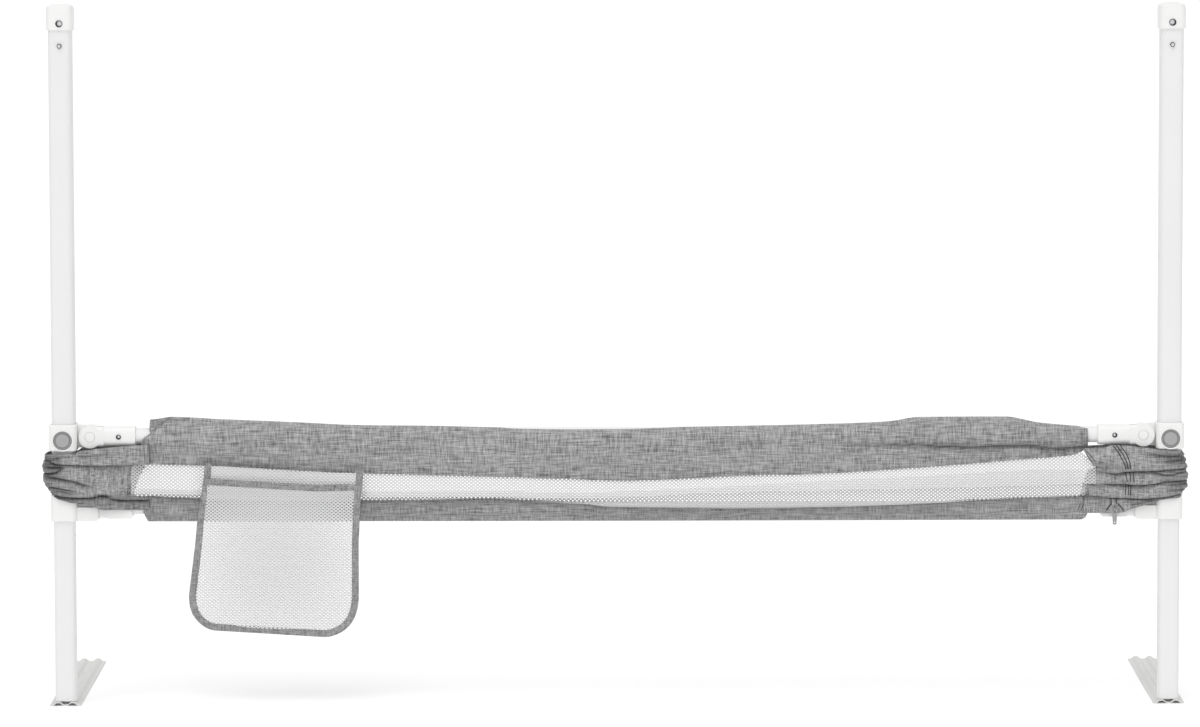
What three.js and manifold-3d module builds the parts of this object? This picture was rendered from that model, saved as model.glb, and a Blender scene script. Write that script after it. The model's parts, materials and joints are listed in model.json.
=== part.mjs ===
// A bed guard rail with its top rail let down: two posts on telescoping legs and foot plates, a
// rail that slides down the posts, and a cloth and net cover that gathers beneath it.
// Millimetres. X runs along the rail, Y away from the sleeper's side and over the foot plates, Z up.
// Pieces of one end are drawn round their post, with x counted inwards from the post's axis.

import * as THREE from 'three';
import { mergeVertices } from 'three/addons/utils/BufferGeometryUtils.js';
import Module from 'manifold-3d';

const wasm = await Module();
wasm.setup();

// Driving sizes of the whole rail
const postSpacing = 1465;
const postTop = 926;
const railHeight = 358;
const railsApart = 96.5;

// Clearances and cutting overrun
const gap = 0.3;
const slidingGap = 0.5;
const overrun = 1;
const weldDistance = 1e-4;

// Post, leg and the walls of all the steel tube
const wall = 1.2;
const postHalf = 15.5;
const postRadius = 7;
const legHalf = 13.75;
const legRadius = 5.5;
const legInsert = 184;

// Foot plate
const plateWidth = 41;
const plateLength = 400;
const plateLead = 19;
const plateSheet = 1.5;
const ridgeRise = 3.5;
const ridgeSpacing = 19;
const ridgeFoot = 13;
const ridgeCrest = 5;
const plateHoleRadius = 2.2;
const plateHoleBack = 280;

// Plug in the foot of the leg, and the screws up into it
const plugHeight = 25;
const footShankRadius = 1.5;
const footShankLength = 17;
const footHeadRadius = 2.6;
const footHeadHeight = 1.7;
const footHeadNose = 2.1;

// Post cap
const capHalf = 18;
const capRadius = 8.5;
const capSkirt = 29.5;
const capDome = 5;
const capCrownHalf = 12;
const capShoulder = 9;
const capBulge = 1.9;
const capBulgeShare = 0.62;
const capCrownDrop = 0.8;

// Round-headed screws in the cap, the connector and the lower bracket
const shankRadius = 1.5;
const capScrewDrop = 21;
const capScrewHead = 4.75;
const railScrewHead = 3.4;
const bracketScrewHead = 3.6;
const headRise = 2;
const domeShares = [[0, 1], [0.55, 0.82], [0.88, 0.5], [1, 0]];
const capScrewLength = 8;
const railScrewLength = 7.5;

// Latch pin in the front of the post, and its leaf spring
const pinRadius = 3;
const pinProud = 3.4;
const pinTip = 0.8;
const pinFlange = 4.2;
const pinFlangeThick = 1;
const leafWidth = 8;
const leafThick = 0.8;
const leafArm = 16;
const leafDrop = 46;
const leafBend = 5;

// Slider
const sliderHalf = 18.5;
const sliderWall = 2.5;
const sliderDrop = 18;
const sliderRise = 16.8;
const liftClearance = 0.7;
const sliderBevel = 1.2;
const sliderRadius = 7;

// Release button and its spring, which work along Y in the slider's front
const buttonDrop = 3.5;
const buttonTravel = 3.2;
const buttonRadius = 12.3;
const buttonFlange = 13.1;
const buttonFlangeThick = 1.4;
const buttonFace = 8.7;
const buttonStem = 2.4;
const buttonProud = 0.8;
const buttonDish = 1.1;
const buttonEdge = 0.5;
const bossWall = 1.65;
const bossProud = 2.5;
const lipThick = 2;
const buttonWire = 0.6;
const buttonCoil = 5.6;
const buttonCurls = 2.5;

// Pivot between slider and rail, and the rail connector
const pivotReach = 35;
const knuckleRadius = 15;
const lugThick = 10;
const connectorDepth = 13;
const pivotRadius = 4;
const pivotHead = 6.7;
const pivotHeadThick = 1.2;
const armHalf = 13;
const armRadius = 8;
const armEnd = 95;
const forkDepth = 17;
const railEnd = 60.3;
const railScrewReach = 73;

// Rails
const railRadius = 10.75;
const lowerRailRadius = 7.5;
const lowerRailEnd = 61.3;

// Lower bracket: a collar round the post's foot and a hollow stub towards the rail
const collarHalf = 17.5;
const collarRadius = 8;
const collarDrop = 15.5;
const collarHeight = 35;
const collarLip = 3;
const collarBevel = 0.8;
const stubEnd = 45.5;
const stubHeight = 18.7;
const stubHalf = 11.5;
const stubWall = 2.5;
const stubCorner = 4;
const bracketScrewRise = 26;

// Height lock in the stub: thumb slide, pin and spring, which work along X
const holePitch = 11;
const holeRadius = 2.5;
const heightPinRise = 13.3;
const heightPinRadius = 2.3;
const heightPinShank = 1.5;
const heightPinLength = 13;
const lockTravel = 4.5;
const carriageStart = 19;
const carriageLength = 10;
const thumbThick = 3.6;
const thumbLength = 27.5;
const thumbHill = 3;
const thumbNose = 1.3;
const thumbEdge = 0.9;
const thumbFlatShare = 0.27;
const thumbPeakShare = 0.56;
const thumbFootShare = 0.94;
const thumbHalf = 9.5;
const neckStart = 22;
const neckLength = 6;
const neckHalf = 3.5;
const lockWire = 0.8;
const lockCoil = 4.2;
const lockCurls = 3;
const holesAbovePin = 8;
const holesBelowPin = { left: 7, right: 20 };

// Fitting that carries the lower rail in the stub
const fittingHalf = 8;
const tenonLength = 7.5;
const cradleFloor = 4.7;
const cradleWall = 2.5;
const cradleLength = 30;
const cradleChamfer = 3;
const cradleRise = 12;
const spigotLength = 18;

// Cloth round the rails, with the shares of its rise and drop at even steps along it
const upperSleeveStart = 115;
const upperSleeveStop = 109;
const upperSleeveRise = 28.2;
const upperSleeveDrop = 58.4;
const upperSleeveHalf = 14;
const upperRiseShares = [0.82, 0.83, 0.67, 0.55, 0.51, 0.46, 0.48, 0.51, 0.59, 0.71, 0.99, 1, 0.53];
const upperDropShares = [0.63, 0.68, 0.79, 0.84, 0.89, 0.94, 1, 0.94, 0.86, 0.79, 0.67, 0.52, 0.26];
const upperSectionShares = [
  [0, 1], [0.55, 0.86], [0.9, 0.5], [1, 0], [0.98, -0.2], [0.78, -0.46], [0.46, -0.76], [0.25, -1],
];
const lowerBandStart = 106.5;
const lowerBandStop = 112.5;
const lowerBandRise = 16.2;
const lowerBandDrop = 14.7;
const lowerBandHalf = 11;
const lowerRiseShares = [1, 0.77, 0.71, 0.65, 0.7, 0.62, 0.6, 0.6, 0.6, 0.6, 0.62, 0.72, 0.9];
const lowerSectionShares = [[0.28, 1], [0.78, 0.62], [1, 0.15], [1, -0.3], [0.76, -0.74], [0.3, -1]];

// Net panel, folded up between the two bands
const netThick = 1.2;
const netPleat = 6;
const netLead = 1;
const netLegs = 4;
const netSteps = 12;

// End sleeves gathered round the posts
const endSleeveInner = 94;
const endSleeveOuter = 26.5;
const endSleeveDepth = 26;
const endSleevePanel = 15;
const endFoldDepth = 4.5;
const endSleeveTaper = 9;
const endFoldShares = [0, 0.11, 0.26, 0.44, 0.72, 1];
const endFoldSteps = 3;
const endRingSteps = 11;
const endCornerPower = 0.3;
const endFoldPower = 0.6;
const endHemDrop = 17;
const endHemStart = 24;
const endHemEnd = 72;
const endTopRise = 4.7;
const endTopEnd = 50;

// Net pocket that hangs from the upper sleeve
const pocketStart = 166.5;
const pocketWidth = 225.5;
const pocketLean = 20;
const pocketLeanRight = 6;
const pocketMouthDrop = 60;
const pocketHeight = 207.5;
const pocketMouthSlope = 7;
const pocketCorner = 34;
const pocketBinding = 9.5;
const pocketSheet = 1.4;
const pocketSeam = 3;
const pocketBelly = 10;
const pocketBack = 12;
const pocketSteps = 9;
const pocketRowShares = [0, 0.015, 0.05, 0.11, 0.22, 0.42, 0.7, 1];
const pocketFullShare = 0.45;
const pocketFullPower = 0.6;
const pocketBellyPower = 0.7;
const pocketHang = 3.5;

// Zip slider and its pull tab, at the foot of the right end sleeve
const zipReach = 73;
const zipHeight = 9.2;
const zipWidth = 6.8;
const zipFoot = 4.6;
const zipDepth = 4;
const zipStandoff = 11.2;
const bailOuter = 2.4;
const bailInner = 1.4;
const bailThick = 1.6;
const bailReach = 1.8;
const bailRise = 3;
const tabLength = 20.5;
const tabTop = 6.4;
const tabFoot = 4.9;
const tabThick = 1.2;
const tabBar = 1.2;
const tabWindow = 2.8;
const tabWindowHeight = 3.6;
const tabHole = 0.9;
const tabHoleRise = 3;

// Places worked out from the sizes above
const postX = postSpacing / 2;
const lowerRailHeight = railHeight - railsApart;
const sliderBottom = railHeight - sliderDrop;
const sliderTop = railHeight + sliderRise;
const buttonHeight = railHeight - buttonDrop;
const collarBottom = lowerRailHeight - collarDrop;
const collarTop = collarBottom + collarHeight;
const heightPinHeight = collarBottom + heightPinRise;
const legTop = collarBottom + legInsert;
const capBottom = postTop - capSkirt;
const capTop = postTop + capDome;
const capScrewHeight = postTop - capScrewDrop;
const railLift = capBottom - sliderTop - liftClearance;
const plateTop = ridgeRise + plateSheet;
const legFoot = plateTop + gap;
const postFoot = collarBottom + collarLip + gap;
const latchHeight = buttonHeight + railLift;
const sliderFloor = postHalf + slidingGap + sliderWall;
const flangeBack = sliderFloor + buttonTravel + gap;
const lipBack = flangeBack + buttonFlangeThick + gap;
const bossFront = lipBack + lipThick;
const sliderFront = bossFront - bossProud;
const stubTop = collarBottom + stubHeight;
const stubCeiling = stubTop - stubWall;
const stubFloor = collarBottom + stubWall;
const carriageEnd = carriageStart + carriageLength;
const tenonStart = stubEnd - tenonLength;
const cradleBottom = lowerRailHeight - lowerRailRadius - gap - cradleFloor;
const bracketScrewLength = collarHalf + gap - postHalf + wall;
const upperSleeveLeft = upperSleeveStart - postX;
const upperSleeveRight = postX - upperSleeveStop;
const lowerBandLeft = lowerBandStart - postX;
const lowerBandRight = postX - lowerBandStop;
const pocketLeft = pocketStart - postX;
const pocketRight = pocketLeft + pocketWidth;
const pocketMouth = railHeight - pocketMouthDrop;
const pocketBottom = pocketMouth - pocketHeight;

// Solids: one closed body each, cut and joined by the library

function solidOf(geometry) {
  const plain = geometry.clone();
  plain.deleteAttribute('normal');
  plain.deleteAttribute('uv');
  const merged = mergeVertices(plain, weldDistance);
  return new wasm.Manifold(new wasm.Mesh({
    numProp: 3,
    vertProperties: new Float32Array(merged.attributes.position.array),
    triVerts: new Uint32Array(merged.index.array),
  }));
}

function geometryOf(solid) {
  const data = solid.getMesh();
  const geometry = new THREE.BufferGeometry();
  geometry.setAttribute('position', new THREE.BufferAttribute(new Float32Array(data.vertProperties), 3));
  geometry.setIndex(new THREE.BufferAttribute(new Uint32Array(data.triVerts), 1));
  geometry.computeVertexNormals();
  return geometry;
}

function join(...geometries) {
  return geometryOf(geometries.map(solidOf).reduce((whole, piece) => whole.add(piece)));
}

function cut(geometry, ...tools) {
  return geometryOf(tools.map(solidOf).reduce((rest, tool) => rest.subtract(tool), solidOf(geometry)));
}

// Outlines

function roundedRect(halfX, halfY, radius, centreX = 0, centreY = 0) {
  const shape = new THREE.Shape();
  const quarter = Math.PI / 2;
  const corners = [[1, 1, 0], [-1, 1, 1], [-1, -1, 2], [1, -1, 3]];
  for (const [signX, signY, turn] of corners) {
    const x = centreX + signX * (halfX - radius);
    const y = centreY + signY * (halfY - radius);
    shape.absarc(x, y, radius, turn * quarter, (turn + 1) * quarter, false);
  }
  return shape;
}

function polygon(points) {
  return new THREE.Shape(points.map(([x, y]) => new THREE.Vector2(x, y)));
}

// A polyline with each inner corner rounded by a quadratic curve that starts reach before it
function softened(points, reach, steps = 4) {
  const soft = [points[0]];
  for (let i = 1; i < points.length - 1; i++) {
    const here = new THREE.Vector2(...points[i]);
    const before = new THREE.Vector2(...points[i - 1]);
    const after = new THREE.Vector2(...points[i + 1]);
    const enter = here.clone().add(before.sub(here).setLength(reach));
    const leave = here.clone().add(after.sub(here).setLength(reach));
    const curve = new THREE.QuadraticBezierCurve(enter, here, leave);
    soft.push(...curve.getPoints(steps).map((p) => [p.x, p.y]));
  }
  soft.push(points[points.length - 1]);
  return soft;
}

// The closed outline of a strip of even thickness along a polyline
function strip(points, thick) {
  const left = [];
  const right = [];
  points.forEach(([x, y], i) => {
    const before = points[Math.max(i - 1, 0)];
    const after = points[Math.min(i + 1, points.length - 1)];
    const along = new THREE.Vector2(after[0] - before[0], after[1] - before[1]).normalize();
    left.push([x - along.y * thick / 2, y + along.x * thick / 2]);
    right.push([x + along.y * thick / 2, y - along.x * thick / 2]);
  });
  return [...right, ...left.reverse()];
}

// Prisms and round pieces along each axis

const alongX = new THREE.Matrix4().makeBasis(
  new THREE.Vector3(0, 1, 0), new THREE.Vector3(0, 0, 1), new THREE.Vector3(1, 0, 0));
const alongY = new THREE.Matrix4().makeBasis(
  new THREE.Vector3(1, 0, 0), new THREE.Vector3(0, 0, 1), new THREE.Vector3(0, -1, 0));

function prismZ(shape, low, high, bevel = 0, curveSegments = 2) {
  const geometry = new THREE.ExtrudeGeometry(shape, {
    depth: high - low - 2 * bevel,
    bevelEnabled: bevel > 0,
    bevelThickness: bevel,
    bevelSize: bevel,
    bevelOffset: -bevel,
    bevelSegments: 1,
    curveSegments,
  });
  return geometry.translate(0, 0, low + bevel);
}

// Outline in Y and Z
function prismX(shape, low, high, bevel = 0, curveSegments = 3) {
  return prismZ(shape, low, high, bevel, curveSegments).applyMatrix4(alongX);
}

// Outline in X and Z
function prismY(shape, low, high, bevel = 0, curveSegments = 3) {
  return prismZ(shape, -high, -low, bevel, curveSegments).applyMatrix4(alongY);
}

function block(xs, ys, zs) {
  const geometry = new THREE.BoxGeometry(xs[1] - xs[0], ys[1] - ys[0], zs[1] - zs[0]);
  return geometry.translate((xs[0] + xs[1]) / 2, (ys[0] + ys[1]) / 2, (zs[0] + zs[1]) / 2);
}

// A cylinder from low to high along one axis, through the point at
function rod(axis, radius, low, high, at, sides = 20) {
  const geometry = new THREE.CylinderGeometry(radius, radius, high - low, sides);
  if (axis === 'x') geometry.rotateZ(-Math.PI / 2);
  if (axis === 'z') geometry.rotateX(Math.PI / 2);
  const middle = (low + high) / 2;
  const centre = { x: at[0], y: at[1], z: at[2], [axis]: middle };
  return geometry.translate(centre.x, centre.y, centre.z);
}

// A turned piece from [radius, y] points, its axis parallel to Y through x and z
function turnedY(points, x, z, sides = 24) {
  const profile = points.map(([radius, y]) => new THREE.Vector2(radius, y));
  return new THREE.LatheGeometry(profile, sides).translate(x, 0, z);
}

function ringOf(centre, outer, inner, low, high, sides) {
  return cut(rod('x', outer, low, high, centre, sides), rod('x', inner, low - overrun, high + overrun, centre, sides));
}

// A closed skin over rings of equal count, with fans over the two end rings
function loft(rings) {
  const count = rings[0].length;
  const vertices = rings.flat();
  const faces = [];
  for (let r = 0; r < rings.length - 1; r++) {
    for (let i = 0; i < count; i++) {
      const a = r * count + i;
      const b = r * count + (i + 1) % count;
      faces.push(a, b, b + count, a, b + count, a + count);
    }
  }
  for (const [ring, start, flip] of [[rings[0], 0, true], [rings.at(-1), vertices.length - count, false]]) {
    const centre = ring.reduce((sum, p) => sum.add(p), new THREE.Vector3()).divideScalar(count);
    vertices.push(centre);
    for (let i = 0; i < count; i++) {
      const pair = [start + i, start + (i + 1) % count];
      faces.push(...(flip ? pair.reverse() : pair), vertices.length - 1);
    }
  }
  const geometry = new THREE.BufferGeometry();
  geometry.setAttribute('position', new THREE.Float32BufferAttribute(vertices.flatMap((v) => v.toArray()), 3));
  geometry.setIndex(faces);
  return geometry;
}

// A closed skin over rings that are folded strips, whose two ends are closed by quads
function stripLoft(rings) {
  const count = rings[0].length;
  const side = count / 2;
  const vertices = rings.flat();
  const faces = [];
  for (let r = 0; r < rings.length - 1; r++) {
    for (let i = 0; i < count; i++) {
      const a = r * count + i;
      const b = r * count + (i + 1) % count;
      faces.push(a, b, b + count, a, b + count, a + count);
    }
  }
  for (const [start, flip] of [[0, true], [vertices.length - count, false]]) {
    for (let i = 0; i < side - 1; i++) {
      const quad = [start + i, start + i + 1, start + count - 2 - i, start + count - 1 - i];
      if (flip) quad.reverse();
      faces.push(quad[0], quad[1], quad[2], quad[0], quad[2], quad[3]);
    }
  }
  const geometry = new THREE.BufferGeometry();
  geometry.setAttribute('position', new THREE.Float32BufferAttribute(vertices.flatMap((v) => v.toArray()), 3));
  geometry.setIndex(faces);
  return geometry;
}

// A share read at place u, from 0 to 1, between evenly spaced ones
function shareAt(shares, u) {
  const place = THREE.MathUtils.clamp(u, 0, 1) * (shares.length - 1);
  const index = Math.min(Math.floor(place), shares.length - 2);
  return THREE.MathUtils.lerp(shares[index], shares[index + 1], place - index);
}

class Helix extends THREE.Curve {
  constructor(radius, length, turns) {
    super();
    this.radius = radius;
    this.length = length;
    this.turns = turns;
  }

  getPoint(t) {
    const angle = t * this.turns * 2 * Math.PI;
    return new THREE.Vector3(this.radius * Math.cos(angle), this.radius * Math.sin(angle), t * this.length);
  }
}

// A coil spring that fills length along Z from zero, and the least gap between its turns
function coilSpring(name, radius, wire, turns, length) {
  const helix = new Helix(radius, length - wire, turns);
  const section = new THREE.Shape().absarc(0, 0, wire / 2, 0, 2 * Math.PI, false);
  const steps = Math.round(7 * turns);
  const geometry = new THREE.ExtrudeGeometry(section, { extrudePath: helix, steps, curveSegments: 3 });
  const points = helix.getPoints(steps * 4);
  const turnSteps = Math.round(points.length / turns / 2);
  const reach = (a, i) => Math.min(...points.slice(i + turnSteps).map((b) => a.distanceTo(b)));
  const least = Math.min(...points.slice(0, -turnSteps).map(reach)) - wire;
  console.log(`${name}: least gap between turns ${least.toFixed(2)} mm`);
  return geometry.translate(0, 0, wire / 2);
}

// Foot: plate, leg, plug and the screws between them

function footPlate() {
  const edge = plateWidth / 2;
  const foot = ridgeFoot / 2;
  const crest = ridgeCrest / 2;
  const ridge = (centre) => [
    [centre - foot, 0], [centre - crest, ridgeRise], [centre + crest, ridgeRise], [centre + foot, 0],
  ];
  const under = [[-edge, 0], ...ridge(-ridgeSpacing / 2), ...ridge(ridgeSpacing / 2), [edge, 0]];
  const soft = softened(under, plateSheet / 2, 2);
  const outline = [...soft, ...soft.map(([x, z]) => [x, z + plateSheet]).reverse()];
  const plate = prismY(polygon(outline), -plateLead, plateLength - plateLead);
  const holeY = plateHoleBack - plateLead;
  const hole = rod('z', plateHoleRadius, -overrun, plateTop + overrun, [0, holeY, 0], 12);
  const screwHoles = [-1, 1].map((side) => rod(
    'z', footShankRadius + gap, -overrun, plateTop + overrun, [side * ridgeSpacing / 2, 0, 0], 8));
  return cut(plate, hole, ...screwHoles);
}

function legTube(side) {
  const outer = roundedRect(legHalf, legHalf, legRadius);
  const bore = roundedRect(legHalf - wall, legHalf - wall, legRadius - wall);
  const holes = [];
  for (let k = -holesAbovePin; k <= holesBelowPin[side]; k++) {
    const z = heightPinHeight - k * holePitch;
    holes.push(rod('x', holeRadius, legHalf - 2 * wall, legHalf + overrun, [0, 0, z], 8));
  }
  const tube = cut(prismZ(outer, legFoot, legTop), prismZ(bore, legFoot - overrun, legTop + overrun));
  return cut(tube, ...holes);
}

function legPlug() {
  const half = legHalf - wall - gap;
  const plug = prismZ(roundedRect(half, half, legRadius - wall - gap), legFoot, legFoot + plugHeight);
  const pilotTop = footShankLength + footHeadHeight + plateTop;
  const pilots = [-1, 1].map((side) => rod(
    'z', footShankRadius + gap, legFoot - overrun, pilotTop, [side * ridgeSpacing / 2, 0, 0], 8));
  return cut(plug, ...pilots);
}

function footScrew(side) {
  const seat = ridgeRise - gap;
  const low = seat - footHeadHeight;
  const profile = [
    [0, low], [footHeadNose, low], [footHeadRadius, low + footHeadHeight / 3],
    [footHeadRadius, seat], [footShankRadius, seat], [footShankRadius, seat + footShankLength],
    [0, seat + footShankLength],
  ].map(([radius, z]) => new THREE.Vector2(radius, z));
  const screw = new THREE.LatheGeometry(profile, 8).rotateX(Math.PI / 2);
  return screw.translate(side * ridgeSpacing / 2, 0, 0);
}

// Post, its cap and the latch near its top

function postTube() {
  const outer = roundedRect(postHalf, postHalf, postRadius);
  const bore = roundedRect(postHalf - wall, postHalf - wall, postRadius - wall);
  const tube = cut(prismZ(outer, postFoot, postTop), prismZ(bore, postFoot - overrun, postTop + overrun));
  const inside = postHalf - 2 * wall;
  const outside = postHalf + overrun;
  return cut(
    tube,
    rod('y', pinRadius + gap, -outside, -inside, [0, 0, latchHeight], 12),
    rod('y', shankRadius + gap, -outside, -inside, [0, 0, capScrewHeight], 12),
    rod('x', heightPinRadius + gap, inside, outside, [0, 0, heightPinHeight], 12),
    rod('y', shankRadius + gap, inside, outside, [0, 0, collarBottom + bracketScrewRise], 12),
  );
}

function squareRing(half, radius, z) {
  return roundedRect(half, half, radius).getPoints(2).map((p) => new THREE.Vector3(p.x, p.y, z));
}

function postCap() {
  const shoulder = capTop - capShoulder;
  const rings = [
    squareRing(capHalf, capRadius, capBottom),
    squareRing(capHalf, capRadius, shoulder),
    squareRing((capHalf + capCrownHalf) / 2 + capBulge, capRadius, shoulder + capShoulder * capBulgeShare),
    squareRing(capCrownHalf, capCrownHalf / 2, capTop - capCrownDrop),
    squareRing(capCrownHalf / 2, capCrownHalf / 4, capTop),
  ];
  const bore = roundedRect(postHalf + gap, postHalf + gap, postRadius + gap);
  return cut(
    loft(rings),
    prismZ(bore, capBottom - overrun, postTop + gap),
    rod('y', shankRadius + gap, -capHalf - overrun, -postHalf, [0, 0, capScrewHeight], 12),
  );
}

// A round-headed screw along Y: its head stands on seat, and its shank runs on for length.
// facing is -1 for a head towards the front and 1 for one towards the back.
function domeScrew(headRadius, seat, length, facing, x, z) {
  const head = seat + facing * gap;
  const tip = head - facing * length;
  const dome = domeShares.map(([out, up]) => [headRadius * out, head + facing * headRise * up]);
  const profile = [...dome, [shankRadius, head], [shankRadius, tip], [0, tip]];
  return turnedY(facing < 0 ? profile : profile.reverse(), x, z, 14);
}

function latchPin() {
  const tip = -postHalf - pinProud;
  const flangeFront = -postHalf + wall + gap;
  const flangeBackFace = flangeFront + pinFlangeThick;
  return turnedY([
    [0, tip], [pinRadius - pinTip, tip], [pinRadius, tip + pinTip], [pinRadius, flangeFront],
    [pinFlange, flangeFront], [pinFlange, flangeBackFace], [0, flangeBackFace],
  ], 0, latchHeight, 12);
}

function latchSpring() {
  const front = -postHalf + wall + gap + pinFlangeThick + gap + leafThick / 2;
  const back = postHalf - wall - gap - leafThick / 2;
  const top = latchHeight + leafArm / 2;
  const bend = [(front + back) / 2, top - leafDrop];
  const line = softened(
    [[front, top], [front, top - leafArm], bend, [back, top - leafArm], [back, top]], leafBend);
  return prismX(polygon(strip(line, leafThick)), -leafWidth / 2, leafWidth / 2);
}

// Slider with its lug, button chamber and pivot bore

function lugOutline() {
  const shape = new THREE.Shape();
  const root = sliderHalf - sliderWall;
  shape.moveTo(root, sliderBottom + sliderBevel + sliderWall);
  shape.lineTo(pivotReach, railHeight - knuckleRadius);
  shape.absarc(pivotReach, railHeight, knuckleRadius, -Math.PI / 2, Math.PI / 2, false);
  shape.lineTo(root, sliderTop - sliderBevel);
  return shape;
}

function slider() {
  const halfY = (sliderFront + sliderHalf) / 2;
  const outline = roundedRect(sliderHalf, halfY, sliderRadius, 0, sliderHalf - halfY);
  const body = prismZ(outline, sliderBottom, sliderTop, sliderBevel);
  const lug = prismY(lugOutline(), -lugThick / 2, lugThick / 2, sliderBevel / 2, 6);
  const button = [0, 0, buttonHeight];
  const boss = rod('y', buttonRadius + gap + bossWall, -bossFront, -sliderFloor - sliderWall, button, 24);
  const boreHalf = postHalf + slidingGap;
  const bore = roundedRect(boreHalf, boreHalf, postRadius + slidingGap);
  return cut(
    join(body, lug, boss),
    prismZ(bore, sliderBottom - overrun, sliderTop + overrun),
    rod('y', buttonFlange + gap, -lipBack, -sliderFloor, button, 24),
    rod('y', buttonRadius + gap, -bossFront - overrun, -lipBack + overrun, button, 24),
    rod('y', pinRadius + slidingGap, -sliderFloor - overrun, -postHalf, button, 12),
    rod('y', pivotRadius + gap, -lugThick, lugThick, [pivotReach, 0, railHeight], 12),
  );
}

function releaseButton() {
  const face = -bossFront - buttonProud;
  const ceiling = -flangeBack - buttonFlangeThick - gap;
  const skirt = buttonRadius - 2 * buttonEdge;
  return turnedY([
    [0, face], [buttonFace - buttonEdge, face], [buttonFace, face + buttonEdge],
    [buttonFace, -lipBack - buttonEdge], [buttonRadius - buttonEdge, face + buttonDish],
    [buttonRadius, face + buttonDish + buttonEdge], [buttonRadius, -lipBack + gap],
    [buttonFlange, -lipBack + gap], [buttonFlange, -flangeBack], [skirt, -flangeBack],
    [skirt, ceiling], [buttonStem, ceiling], [buttonStem, -postHalf - pinProud - gap],
    [0, -postHalf - pinProud - gap],
  ], 0, buttonHeight, 24);
}

function buttonSpring() {
  const ceiling = flangeBack + buttonFlangeThick;
  const length = ceiling - sliderFloor - gap;
  const spring = coilSpring('button spring', buttonCoil, buttonWire, buttonCurls, length);
  return spring.rotateX(Math.PI / 2).translate(0, -sliderFloor - gap, buttonHeight);
}

// Rail connector, pivot pin and the two rails

function railConnector() {
  const centre = [pivotReach, 0, railHeight];
  const cheekEnd = pivotReach + forkDepth;
  const knuckle = rod('y', knuckleRadius, -connectorDepth, connectorDepth, centre, 28);
  const arm = prismX(roundedRect(armHalf, armHalf, armRadius, 0, railHeight), pivotReach, armEnd, 0);
  const bridge = prismX(
    roundedRect(connectorDepth, armHalf, armRadius / 2, 0, railHeight), pivotReach, cheekEnd + wall, 0);
  const slotHalf = lugThick / 2 + gap;
  const tall = knuckleRadius + overrun;
  return cut(
    join(knuckle, arm, bridge),
    block([0, cheekEnd], [-slotHalf, slotHalf], [railHeight - tall, railHeight + tall]),
    rod('x', railRadius + gap, railEnd - gap, armEnd + overrun, [0, 0, railHeight], 24),
    rod('y', pivotRadius + gap, -connectorDepth - overrun, connectorDepth + overrun, centre, 12),
    rod('y', pivotHead + gap, -connectorDepth - overrun, -connectorDepth + pivotHeadThick + gap, centre, 16),
    rod('y', pivotHead + gap, connectorDepth - pivotHeadThick - gap, connectorDepth + overrun, centre, 16),
    rod('y', shankRadius + gap, -armHalf - overrun, -railRadius, [railScrewReach, 0, railHeight], 12),
  );
}

function pivotPin() {
  const end = connectorDepth;
  const shoulder = connectorDepth - pivotHeadThick;
  const edge = pivotHeadThick / 3;
  return turnedY([
    [0, -end], [pivotHead - edge, -end], [pivotHead, -end + edge], [pivotHead, -shoulder],
    [pivotRadius, -shoulder], [pivotRadius, shoulder], [pivotHead, shoulder],
    [pivotHead, end - edge], [pivotHead - edge, end], [0, end],
  ], pivotReach, railHeight, 16);
}

function topRailTube() {
  const end = postX - railEnd;
  const tube = ringOf([0, 0, railHeight], railRadius, railRadius - wall, -end, end, 24);
  const screwX = postX - railScrewReach;
  const holes = [-screwX, screwX].map((x) => rod(
    'y', shankRadius + gap, -railRadius - overrun, -railRadius / 2, [x, 0, railHeight], 12));
  return cut(tube, ...holes);
}

function lowerRailTube() {
  const end = postX - lowerRailEnd;
  return ringOf([0, 0, lowerRailHeight], lowerRailRadius, lowerRailRadius - wall, -end, end, 20);
}

// Lower bracket, fitting and height lock

function stubOutline() {
  const shape = new THREE.Shape();
  const root = collarHalf - stubWall;
  const quarter = Math.PI / 2;
  shape.moveTo(root, collarBottom);
  shape.lineTo(stubEnd - stubCorner, collarBottom);
  shape.absarc(stubEnd - stubCorner, collarBottom + stubCorner, stubCorner, -quarter, 0, false);
  shape.absarc(stubEnd - stubCorner, stubTop - stubCorner, stubCorner, 0, quarter, false);
  shape.lineTo(root, stubTop);
  return shape;
}

function lowerBracket() {
  const collar = prismZ(
    roundedRect(collarHalf, collarHalf, collarRadius), collarBottom, collarTop, collarBevel);
  const stub = prismY(stubOutline(), -stubHalf, stubHalf, collarBevel, 2);
  const post = roundedRect(postHalf + gap, postHalf + gap, postRadius + gap);
  const legWay = roundedRect(legHalf + gap, legHalf + gap, legRadius + gap);
  const inner = stubHalf - stubWall;
  const slotEnd = neckStart + neckLength + lockTravel + slidingGap;
  return cut(
    join(collar, stub),
    prismZ(post, collarBottom + collarLip, collarTop + overrun),
    prismZ(legWay, collarBottom - overrun, collarTop),
    block([postHalf - overrun, stubEnd + overrun], [-inner, inner], [stubFloor, stubCeiling]),
    block([neckStart - slidingGap, slotEnd], [-neckHalf - gap, neckHalf + gap], [stubFloor, stubTop + overrun]),
    rod('y', shankRadius + gap, postHalf, collarHalf + overrun,
      [0, 0, collarBottom + bracketScrewRise], 12),
  );
}

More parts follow.
